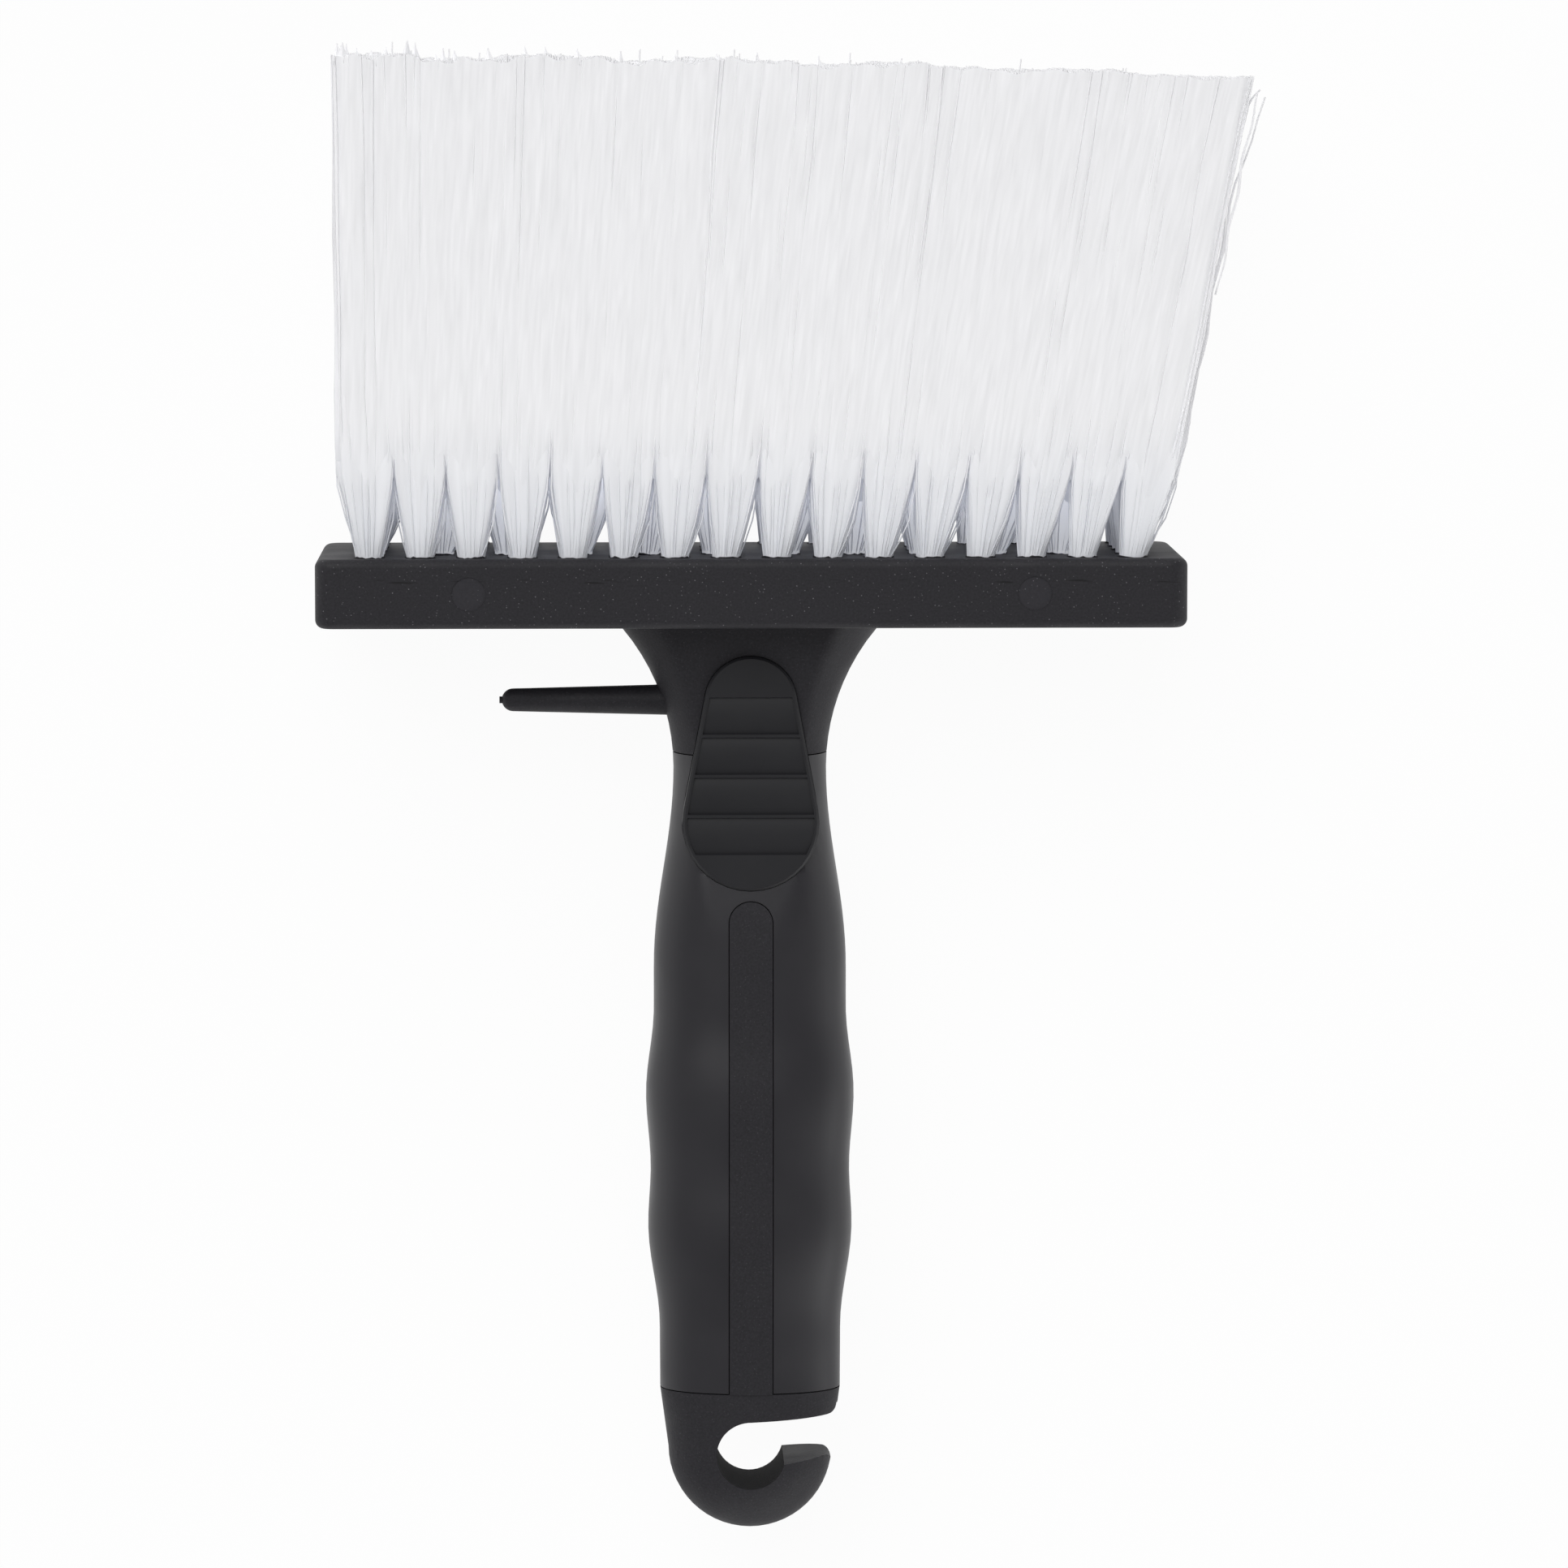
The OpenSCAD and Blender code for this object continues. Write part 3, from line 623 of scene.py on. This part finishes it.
class Row:
    """Where a row's tufts stand, read from the anchors that hold them, and how they spread."""

    def __init__(self, row):
        sizes = bpy.context.scene.brush_sizes
        self.sizes = sizes
        self.number = row
        self.count = sizes.outer_tufts if row in (ROWS[0], ROWS[-1]) else sizes.inner_tufts
        low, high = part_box(f"anchor_row_{row}")
        self.x = np.linspace(low.x + HOLE_R, high.x - HOLE_R, self.count)
        self.z = (low.z + high.z) / 2
        self.half_z = abs(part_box("anchor_row_1")[0].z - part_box("anchor_row_2")[0].z) / 2
        self.half_x_root = (self.x[1] - self.x[0]) / 2
        self.half_x_tip = sizes.tips_length / self.count / 2

    def tall(self, along):
        """Bristle height at a share of the row's length: lower to the right, wavier to the left."""
        reach = along * self.sizes.tips_length / MM
        wave = sum(
            size * np.sin(FULL_TURN * reach / period + turn * self.number)
            for size, period, turn in TIP_WAVES)
        wave = wave * (WAVE_LEFT - WAVE_LOSS * along)
        full = self.sizes.bristle_length - ROW_SHORT[self.number - 1]
        return full - self.sizes.tip_drop * along ** 2 + self.sizes.tip_wave * wave

    def inside(self, x, z):
        """How far inside the brush a point lies: 0 outside, easing to 1 a whole tuft from there."""
        from_end = min(x - self.x[0], self.x[-1] - x) + HOLE_R
        from_face = min(z - LOW_Z, HIGH_Z - z)
        share = min(max(min(from_end / self.half_x_root, from_face / self.half_z) / 2, 0), 1)
        return share * share * (3 - 2 * share)

    def spread(self, height):
        """How far a tuft has spread from its hole's round to its own field at a height."""
        return 1 - (1 - np.clip(height / self.sizes.flare_height, 0, 1)) ** FLARE_POWER

    def half_x(self, level):
        """Half of a tuft's own field along the row at a share of the height."""
        return self.half_x_root + (self.half_x_tip - self.half_x_root) * level

    def middle(self, tuft, level):
        """Middle of a tuft along the row at a share of the height."""
        tip_x = self.sizes.lean + self.sizes.tips_length * ((tuft + 0.5) / self.count - 0.5)
        return self.x[tuft] + (tip_x - self.x[tuft]) * level

    def place(self, tuft, u, v, level, height):
        """Points for places u, v in a tuft's unit disc at a share of the height and that height."""
        root_r = HOLE_R - self.sizes.filament / 2
        spread = self.spread(height)
        su, sv = square_from_disc(u, v)
        x = self.middle(tuft, level) + u * root_r * (1 - spread) + su * self.half_x(level) * spread
        z = self.z + v * root_r * (1 - spread) + sv * self.half_z * spread
        return x, TOP_Y + height, z


def strands(row, tuft, u, v, levels, rng):
    """Paths of strands at places u, v of one tuft, as an array of strands by points by axes."""
    sizes = row.sizes
    count = len(u)
    # Strands stick together in groups, which stray as one
    group = rng.integers(0, GROUPS, count)
    off = rng.normal(0, 1, (2, GROUPS))[:, group]
    group_phase = rng.uniform(0, FULL_TURN, GROUPS)[group]
    phase = rng.uniform(0, FULL_TURN, (2, count))
    along = (tuft + 0.5 + u / 2) / row.count
    tip_height = row.tall(along) + rng.normal(0, 1, count) * sizes.tip_stray
    long_share = LONG_TIP_SHARE if len(levels) > len(TIP_LEVELS) else 0
    long_tip = rng.uniform(0, 1, count) < long_share
    tip_height = tip_height + long_tip * rng.uniform(*LONG_TIP_MORE, count) * MM
    # Loose strands bulge out, most of all on the right flank
    bulge = np.maximum(0, rng.normal(0, sizes.splay, count)) * np.where(u > FLANK, FLANK_SPLAY, 1)
    points = np.empty((count, len(levels), 3))
    for j, level in enumerate(levels):
        height = level * tip_height
        x, y, z = row.place(tuft, u, v, level, height)
        loose = bulge * np.sin(math.pi * np.clip(height / sizes.flare_height, 0, 1))
        # They sink into the mass from one fifth to two fifths of the height
        sunk = sizes.bury * np.clip(5 * level - 1, 0, 1)
        x = x + u * loose
        z = z + v * loose - np.sign(v) * sunk
        stray = sizes.stray * level
        wave = sizes.crimp * np.clip(height / CRIMP_FULL, 0, 1)
        own_wave = np.sin(height / CRIMP_ALONG + phase[0])
        group_wave = np.sin(height / CRIMP_GROUP + group_phase)
        deep_wave = np.sin(height / CRIMP_DEEP + phase[1])
        x = x + stray * off[0] + wave * (own_wave + group_wave) / 2
        z = z + DEEP_STRAY_SHARE * stray * off[1] + DEEP_CRIMP_SHARE * wave * deep_wave
        points[:, j] = np.stack([x, y, np.clip(z, LOW_Z, HIGH_Z)], axis=1)
    return points


def disc_places(count, ring, rng):
    """Evenly spread places in a ring of the unit disc."""
    low, high = ring
    turn = np.arange(count) * GOLDEN_ANGLE + rng.uniform(0, FULL_TURN)
    reach = np.sqrt(low ** 2 + (high ** 2 - low ** 2) * (np.arange(count) + 0.5) / count)
    return reach * np.cos(turn), reach * np.sin(turn)


def row_filaments(row, rng):
    """A row's loose filaments: long ones round each tuft and the tips of those inside it."""
    sizes = row.sizes
    made = []
    for tuft in range(row.count):
        u, v = disc_places(sizes.long_filaments, LONG_RING, rng)
        paths = strands(row, tuft, u, v, LONG_LEVELS, rng)
        root = paths[:, :1].copy()
        root[:, 0, 1] = ANCHOR_TOP_Y
        made.extend(np.concatenate([root, paths], axis=1))
        u, v = disc_places(sizes.tip_filaments, TIP_RING, rng)
        made.extend(strands(row, tuft, u, v, TIP_LEVELS, rng))
    if row.number == LOOSE_ROW:
        made.extend(loose_bundles(row))
    return made


def loose_bundles(row):
    """Bundles that have come loose from the right end of a row and wave beside it."""
    made = []
    last = row.count - 1
    tall = float(row.tall(1))
    for start, end, waves, swing, flick, depth in LOOSE_BUNDLES:
        share = np.linspace(0, 1, LOOSE_POINTS)
        level = start + (end - start) * share
        # The last third flicks out
        flicked = flick * np.clip(3 * share - 2, 0, 1) ** 2
        out = swing * np.sin(math.pi * waves * share) ** 2 + flicked
        x, y, z = row.place(last, 1.0, depth, level, level * tall)
        apart = LOOSE_GAP * row.sizes.filament * np.sin(math.pi * np.clip(share, 0.1, 0.9))
        for side in (-1, 0, 1):
            made.append(np.stack([x + out * MM + side * apart, y, z + 0 * x], axis=1))
    return made


def tubes_from(paths, title, radius, material, rng):
    """One mesh of four-sided tubes along the paths, with a tone for each strand."""
    curve = bpy.data.curves.new(title, "CURVE")
    curve.dimensions = "3D"
    curve.bevel_depth = radius
    curve.bevel_resolution = 0
    curve.use_fill_caps = True
    for path in paths:
        spline = curve.splines.new("POLY")
        spline.points.add(len(path) - 1)
        weighted = np.concatenate([path, np.ones((len(path), 1))], axis=1)
        spline.points.foreach_set("co", weighted.ravel())
    holder = bpy.data.objects.new(title, curve)
    bpy.context.scene.collection.objects.link(holder)
    shown = holder.evaluated_get(bpy.context.evaluated_depsgraph_get())
    mesh = bpy.data.meshes.new_from_object(shown)
    bpy.data.objects.remove(holder)
    bpy.data.curves.remove(curve)
    # Each tube has four corners at every point, and as many again for the cap at either end
    corners = [4 * (len(path) + 2) for path in paths]
    tones = np.repeat(rng.uniform(0, 1, len(paths)), corners)
    mesh.attributes.new("strand", "FLOAT", "POINT").data.foreach_set("value", tones)
    bm = bmesh.new()
    bm.from_mesh(mesh)
    bpy.data.meshes.remove(mesh)
    bmesh.ops.remove_doubles(bm, verts=bm.verts, dist=FILAMENT_MERGE)
    return piece_from(bm, title, material)


def ringed_tube(bm, sides, rings):
    """Adds a closed upright tube of unit radius and height to a bmesh, and returns its vertices."""
    first = len(bm.verts)
    bmesh.ops.create_cone(bm, cap_ends=True, segments=sides, radius1=1, radius2=1, depth=1)
    bm.verts.ensure_lookup_table()
    rise = [
        edge for vert in bm.verts[first:] if vert.co.z < 0
        for edge in vert.link_edges if edge.other_vert(vert).co.z > 0]
    bmesh.ops.subdivide_edges(bm, edges=rise, cuts=rings)
    bm.verts.ensure_lookup_table()
    return bm.verts[first:]


def row_hearts(row, title, material):
    """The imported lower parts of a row's tufts: fluted bodies that spread until they meet."""
    bm = bmesh.new()
    tone = bm.verts.layers.float.new("strand")
    painted_glow = bm.verts.layers.float.new("painted_glow")
    for tuft in range(row.count):
        tall = float(row.tall((tuft + 0.5) / row.count))
        for vert in ringed_tube(bm, HEART_SIDES, HEART_RINGS):
            share = vert.co.z + 0.5
            level = HEART_TOP * share ** HEART_CROWD
            at = Vector((vert.co.x, vert.co.y, 0))
            # Each tuft reads its own stretch of noise, which changes slowly up the tuft
            seed = Vector((row.number * 7, tuft * 3, 0.6 * share))
            taper = HEART_TAPER * max(0, level - HEART_SINK)
            reach = HEART_REACH + FLUTE_DEPTH * layered_noise(at, FLUTES, seed) - taper
            u, v = np.array(at.x * reach), np.array(at.y * reach)
            x, y, z = row.place(tuft, u, v, level, level * tall)
            y = ANCHOR_TOP_Y if share == 0 else float(y)
            vert[tone] = 0.5 + layered_noise(at, HEART_TONE, seed)
            vert.co = (float(x), y, min(max(float(z), LOW_Z), HIGH_Z))
            # Painted light: how strongly this point of the heart glows, more the deeper it lies
            # inside the brush
            vert[painted_glow] = row.inside(vert.co.x, vert.co.z)
    bmesh.ops.recalc_face_normals(bm, faces=bm.faces)
    return piece_from(bm, title, material)


def add_wisps(bm, row, tone, rng):
    """Adds clumps of longer filaments that stand up from the cut, most of them on the left."""
    for _ in range(WISPS):
        along = WISP_SPAN * rng.uniform() ** WISP_CROWD
        high = rng.uniform(*WISP_HIGH)
        wide = rng.uniform(*WISP_WIDE)
        lean = rng.uniform(-WISP_LEAN, WISP_LEAN)
        depth = row.z + rng.uniform(-WISP_DEEP, WISP_DEEP) * row.half_z
        x = row.middle(0, 1) - row.half_x(1) + along * row.sizes.tips_length
        foot = TOP_Y + row.tall(along) - WISP_SUNK
        for vert in ringed_tube(bm, WISP_SIDES, WISP_RINGS):
            share = vert.co.z + 0.5
            reach = wide * (1 - share) ** WISP_TAPER + WISP_POINT
            rise = share * (high + WISP_SUNK)
            vert.co = (
                x + vert.co.x * reach + lean * share, foot + rise, depth + vert.co.y * reach)
            vert[tone] = WISP_TONE


def slab_place(turn, along, across):
    """Place u, v of a step on the walk round a slab: front, right end, back, left end."""
    if turn < along:
        return 2 * turn / along - 1, 1
    if turn < along + across:
        return 1, 1 - 2 * (turn - along) / across
    if turn < 2 * along + across:
        return 1 - 2 * (turn - along - across) / along, -1
    return -1, 2 * (turn - 2 * along - across) / across - 1


def mass_point(row, u, v, share):
    """Point and tone of a row's mass at a place u, v round it and a share of its own height."""
    spot = (u + 1) / 2 * row.count
    # The lower edge climbs to a point between two tufts
    low = MASS_LOW + MASS_CLIMB * abs(2 * (spot % 1) - 1) ** CLIMB_POWER
    level = low + (1 - low) * share
    height = level * float(row.tall((u + 1) / 2)) - MASS_SHORT * share
    sway = STRAND_SWAY * math.sin(height / SWAY_WAVE + spot)
    depth = (row.z + v * row.half_z) / MM
    strand = Vector((u * STRANDS_ALONG + sway, depth + sway, share * STRANDS_UP))
    relief = row.sizes.relief * (1 + layered_noise(strand, MASS_RELIEF))
    inset = relief * min(1, share + RELIEF_LOW)
    left = row.middle(0, level) - row.half_x(level)
    right = row.middle(row.count - 1, level) + row.half_x(level)
    x = left + (u + 1) / 2 * (right - left) - u * inset
    half_z = row.half_z * (1 - THIN_BY * max(0, 1 - share / THIN_BELOW) ** 3)
    if row.number == (ROWS[0] if v > 0 else ROWS[-1]):
        rounding = max(0, (abs(u) - ROUND_FROM) / (1 - ROUND_FROM)) ** 2
        z = row.z + v * (half_z * (1 - ROUND_BY * rounding) - inset)
    else:
        # Rows run into each other
        z = row.z + v * (half_z + ROW_OVERLAP)
    point = (x, TOP_Y + height, min(max(z, LOW_Z), HIGH_Z))
    return point, 0.5 + layered_noise(strand, MASS_TONE)


def row_mass(row, title, material, rng):
    """The closed mass that a row's tufts make once they have met: a slab with strands in relief."""
    bm = bmesh.new()
    tone = bm.verts.layers.float.new("strand")
    along = int(row.sizes.tips_length / MASS_STEP)
    across = int(2 * row.half_z / MASS_STEP)
    around = 2 * (along + across)
    # The vertices of the lower and of the upper rim, by their step round the slab
    rims = {0: {}, 1: {}}
    for vert in ringed_tube(bm, around, MASS_RINGS):
        turn = round(math.atan2(vert.co.x, vert.co.y) / FULL_TURN * around) % around
        share = vert.co.z + 0.5
        if share in rims:
            rims[share][turn] = vert
        vert.co, vert[tone] = mass_point(row, *slab_place(turn, along, across), share)
    # The lower side and the cut follow their wavy rims: front and back are bridged point by point
    for rim in rims.values():
        front = [rim[turn] for turn in range(along + 1)]
        back = [rim[turn] for turn in range(along + across, 2 * along + across + 1)]
        flat = [face for face in front[1].link_faces if len(face.verts) > 4]
        bmesh.ops.delete(bm, geom=flat, context="FACES_ONLY")
        rails = [bm.edges.get(pair) for rail in (front, back) for pair in zip(rail, rail[1:])]
        bmesh.ops.bridge_loops(bm, edges=rails)
    bmesh.ops.holes_fill(bm, edges=[edge for edge in bm.edges if edge.is_boundary], sides=0)
    if row.number in WISP_ROWS:
        add_wisps(bm, row, tone, rng)
    bmesh.ops.recalc_face_normals(bm, faces=bm.faces)
    for edge in bm.edges:
        edge.smooth = edge.calc_face_angle(0) < SHARP_ANGLE
    return piece_from(bm, title, material)


def hole_burrs(sizes, material):
    """Ragged rims of moulding that the drill threw up round the tuft holes."""
    bm = bmesh.new()
    upright = Matrix.Rotation(math.radians(90), 3, "X")
    for row in map(Row, ROWS):
        for x in row.x:
            middle = Vector((x, TOP_Y - BURR_SUNK, row.z))
            ring = bmesh.ops.create_circle(bm, segments=BURR_SIDES, radius=BURR_R)["verts"]
            bmesh.ops.rotate(bm, verts=ring, matrix=upright)
            bmesh.ops.translate(bm, verts=ring, vec=middle)
            edges = list(dict.fromkeys(edge for vert in ring for edge in vert.link_edges))
            for crest in bmesh.ops.extrude_edge_only(bm, edges=edges)["geom"]:
                if isinstance(crest, bmesh.types.BMVert):
                    spot = crest.co / MM
                    ragged = BURR_MIDDLE + layered_noise(spot, BURR_NOISE)
                    ragged = min(max(ragged, BURR_RANGE[0]), BURR_RANGE[1])
                    wander = BURR_WANDER * layered_noise(spot, BURR_WANDER_NOISE)
                    crest.co.y += BURR_SUNK + sizes.rim_height * ragged
                    crest.co += (crest.co - middle).normalized() * wander
    bm.normal_update()
    bmesh.ops.solidify(bm, geom=bm.faces[:], thickness=BURR_WALL)
    bmesh.ops.recalc_face_normals(bm, faces=bm.faces)
    return piece_from(bm, "tuft_hole_burrs", material)


def light_tent():
    """A light tent: bright to the lower right, less so to the upper left, dim overhead."""
    world = bpy.data.worlds.new("light_tent")
    world.use_nodes = True
    tree = world.node_tree
    tree.nodes.clear()
    place = add_node(tree, "ShaderNodeTexCoord").outputs["Generated"]
    axes = add_node(tree, "ShaderNodeSeparateXYZ", {"Vector": place})
    dim = add_node(
        tree, "ShaderNodeMapRange", {"Value": axes.outputs["Z"]},
        {"From Min": 0.1, "From Max": 0.55, "To Min": 1.0, "To Max": 0.42})
    to_side = add_node(
        tree, "ShaderNodeVectorMath", {0: place}, {1: TENT_SIDE}, operation="DOT_PRODUCT")
    side = add_node(
        tree, "ShaderNodeMapRange", {"Value": to_side.outputs["Value"]},
        {"From Min": 0.3, "From Max": 0.95, "To Min": 0.6, "To Max": 2.6},
        interpolation_type="SMOOTHSTEP")
    to_fill = add_node(
        tree, "ShaderNodeVectorMath", {0: place}, {1: TENT_FILL}, operation="DOT_PRODUCT")
    fill = add_node(
        tree, "ShaderNodeMapRange", {"Value": to_fill.outputs["Value"]},
        {"From Min": 0.2, "From Max": 0.9, "To Min": 0.0, "To Max": 0.4})
    both = add_node(
        tree, "ShaderNodeMath", {0: side.outputs["Result"], 1: fill.outputs["Result"]},
        operation="ADD")
    level = add_node(
        tree, "ShaderNodeMath", {0: dim.outputs["Result"], 1: both.outputs["Value"]},
        operation="MULTIPLY")
    # Looked at, the tent is plain white
    path = add_node(tree, "ShaderNodeLightPath")
    seen = add_node(
        tree, "ShaderNodeMix",
        {"Factor": path.outputs["Is Camera Ray"], "A": level.outputs["Value"]}, {"B": 1.0})
    glow = add_node(
        tree, "ShaderNodeBackground", {"Strength": seen.outputs["Result"]}, {"Color": WHITE})
    add_node(tree, "ShaderNodeOutputWorld", {"Surface": glow.outputs["Background"]})
    return world


def key_softbox(scene):
    """Hangs a large soft key light above the tips."""
    key = bpy.data.lights.new("key_softbox", "SUN")
    key.energy = KEY_STRENGTH
    key.angle = KEY_SPREAD
    holder = bpy.data.objects.new("key_softbox", key)
    scene.collection.objects.link(holder)
    holder.rotation_euler = KEY_TRAVEL.to_track_quat("-Z", "Y").to_euler()


def photo_camera(scene):
    """Stands the camera over the lying brush, with the tips up in the picture."""
    camera = bpy.data.cameras.new("photo_camera")
    camera.sensor_width = CAMERA_SENSOR
    camera.lens = CAMERA_LENS
    camera.clip_start, camera.clip_end = CAMERA_CLIP
    view = bpy.data.objects.new("photo_camera", camera)
    scene.collection.objects.link(view)
    back = (CAMERA_STAND - CAMERA_AIM).normalized()
    side = Vector((0, 1, 0)).cross(back).normalized()
    turn = Matrix((side, back.cross(side), back)).transposed().to_4x4()
    view.matrix_world = Matrix.Translation(CAMERA_STAND) @ turn
    scene.camera = view


class BRUSH_OT_stage(bpy.types.Operator):
    """Lays the floor, the lights and the camera"""
    bl_idname = "brush.stage"
    bl_label = "Stage"

    def execute(self, context):
        scene = context.scene
        scene.view_settings.view_transform = "Standard"
        scene.cycles.diffuse_bounces = DIFFUSE_BOUNCES
        scene.cycles.max_bounces = MAX_BOUNCES
        bm = bmesh.new()
        bmesh.ops.create_grid(bm, x_segments=1, y_segments=1, size=FLOOR_HALF)
        bmesh.ops.translate(bm, verts=bm.verts, vec=(0, 0, FLOOR_Z))
        paper = matt_paper(scene.brush_colours)
        piece_from(bm, "studio_floor", paper, smooth=False)
        scene.world = light_tent()
        key_softbox(scene)
        photo_camera(scene)
        return {"FINISHED"}


class BRUSH_OT_stock(bpy.types.Operator):
    """Finishes the moulded stock"""
    bl_idname = "brush.stock"
    bl_label = "Stock"

    def execute(self, context):
        material = moulded_polypropylene(context.scene.brush_colours)
        finish_moulding("stock", "moulded_stock", material)
        burrs = hole_burrs(context.scene.brush_sizes, material)
        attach(burrs, "root")
        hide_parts("stock")
        return {"FINISHED"}


class BRUSH_OT_grip(bpy.types.Operator):
    """Finishes the soft grip sleeve and the two thumb pads"""
    bl_idname = "brush.grip"
    bl_label = "Soft grip"

    def execute(self, context):
        colours = context.scene.brush_colours
        satin = moulded_elastomer(
            "moulded_elastomer_grip", colours.grip, roughness=0.42, shine=0.4)
        dull = moulded_elastomer(
            "moulded_elastomer_pad", colours.pad, roughness=0.5, shine=0.3)
        finish_moulding("grip_sleeve", "soft_grip_sleeve", satin)
        for side in ("front", "back"):
            finish_moulding(f"thumb_pad_{side}", f"ridged_thumb_pad_{side}", dull)
        return {"FINISHED"}


class BRUSH_OT_bristles(bpy.types.Operator):
    """Sets the five rows of bristles"""
    bl_idname = "brush.bristles"
    bl_label = "Bristles"

    def execute(self, context):
        material = drawn_filament(context.scene.brush_colours)
        for number in ROWS:
            row = Row(number)
            rng = np.random.default_rng(100 + number)
            paths = row_filaments(row, rng)
            radius = row.sizes.filament / 2
            made = (
                tubes_from(paths, f"bristle_filaments_{number}", radius, material, rng),
                row_hearts(row, f"bristle_hearts_{number}", material),
                row_mass(row, f"bristle_mass_{number}", material, rng),
            )
            for part in made:
                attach(part, "root")
                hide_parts(f"tuft_row_{number}")
        return {"FINISHED"}


class BRUSH_OT_anchors(bpy.types.Operator):
    """Gives the hidden anchors their wire"""
    bl_idname = "brush.anchors"
    bl_label = "Anchors"

    def execute(self, context):
        material = drawn_steel(context.scene.brush_colours)
        for row in ROWS:
            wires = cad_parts[f"anchor_row_{row}"].data
            wires.materials.clear()
            wires.materials.append(material)
        return {"FINISHED"}


class BRUSH_PT_panel(bpy.types.Panel):
    """Lists the brush's operators and settings"""
    bl_label = "Block brush"
    bl_idname = "BRUSH_PT_panel"
    bl_space_type = "VIEW_3D"
    bl_region_type = "UI"
    bl_category = "Block brush"

    def draw(self, context):
        for operator in OPERATORS:
            self.layout.operator(operator.bl_idname)
        for group in (context.scene.brush_sizes, context.scene.brush_colours):
            for key in group.bl_rna.properties.keys():
                if key not in {"rna_type", "name"}:
                    self.layout.prop(group, key)


OPERATORS = (BRUSH_OT_stage, BRUSH_OT_stock, BRUSH_OT_grip, BRUSH_OT_bristles, BRUSH_OT_anchors)
CLASSES = (BrushSizes, BrushColours, *OPERATORS, BRUSH_PT_panel)


def register():
    """Registers the classes and hangs the settings on the scene."""
    for cls in CLASSES:
        bpy.utils.register_class(cls)
    bpy.types.Scene.brush_sizes = bpy.props.PointerProperty(type=BrushSizes)
    bpy.types.Scene.brush_colours = bpy.props.PointerProperty(type=BrushColours)


def unregister():
    """Takes back what register did."""
    del bpy.types.Scene.brush_colours
    del bpy.types.Scene.brush_sizes
    for cls in reversed(CLASSES):
        bpy.utils.unregister_class(cls)


def main():
    """Builds the stage and the brush."""
    register()
    bpy.ops.brush.stage()
    bpy.ops.brush.stock()
    bpy.ops.brush.grip()
    bpy.ops.brush.bristles()
    bpy.ops.brush.anchors()


if __name__ == "__main__":
    main()
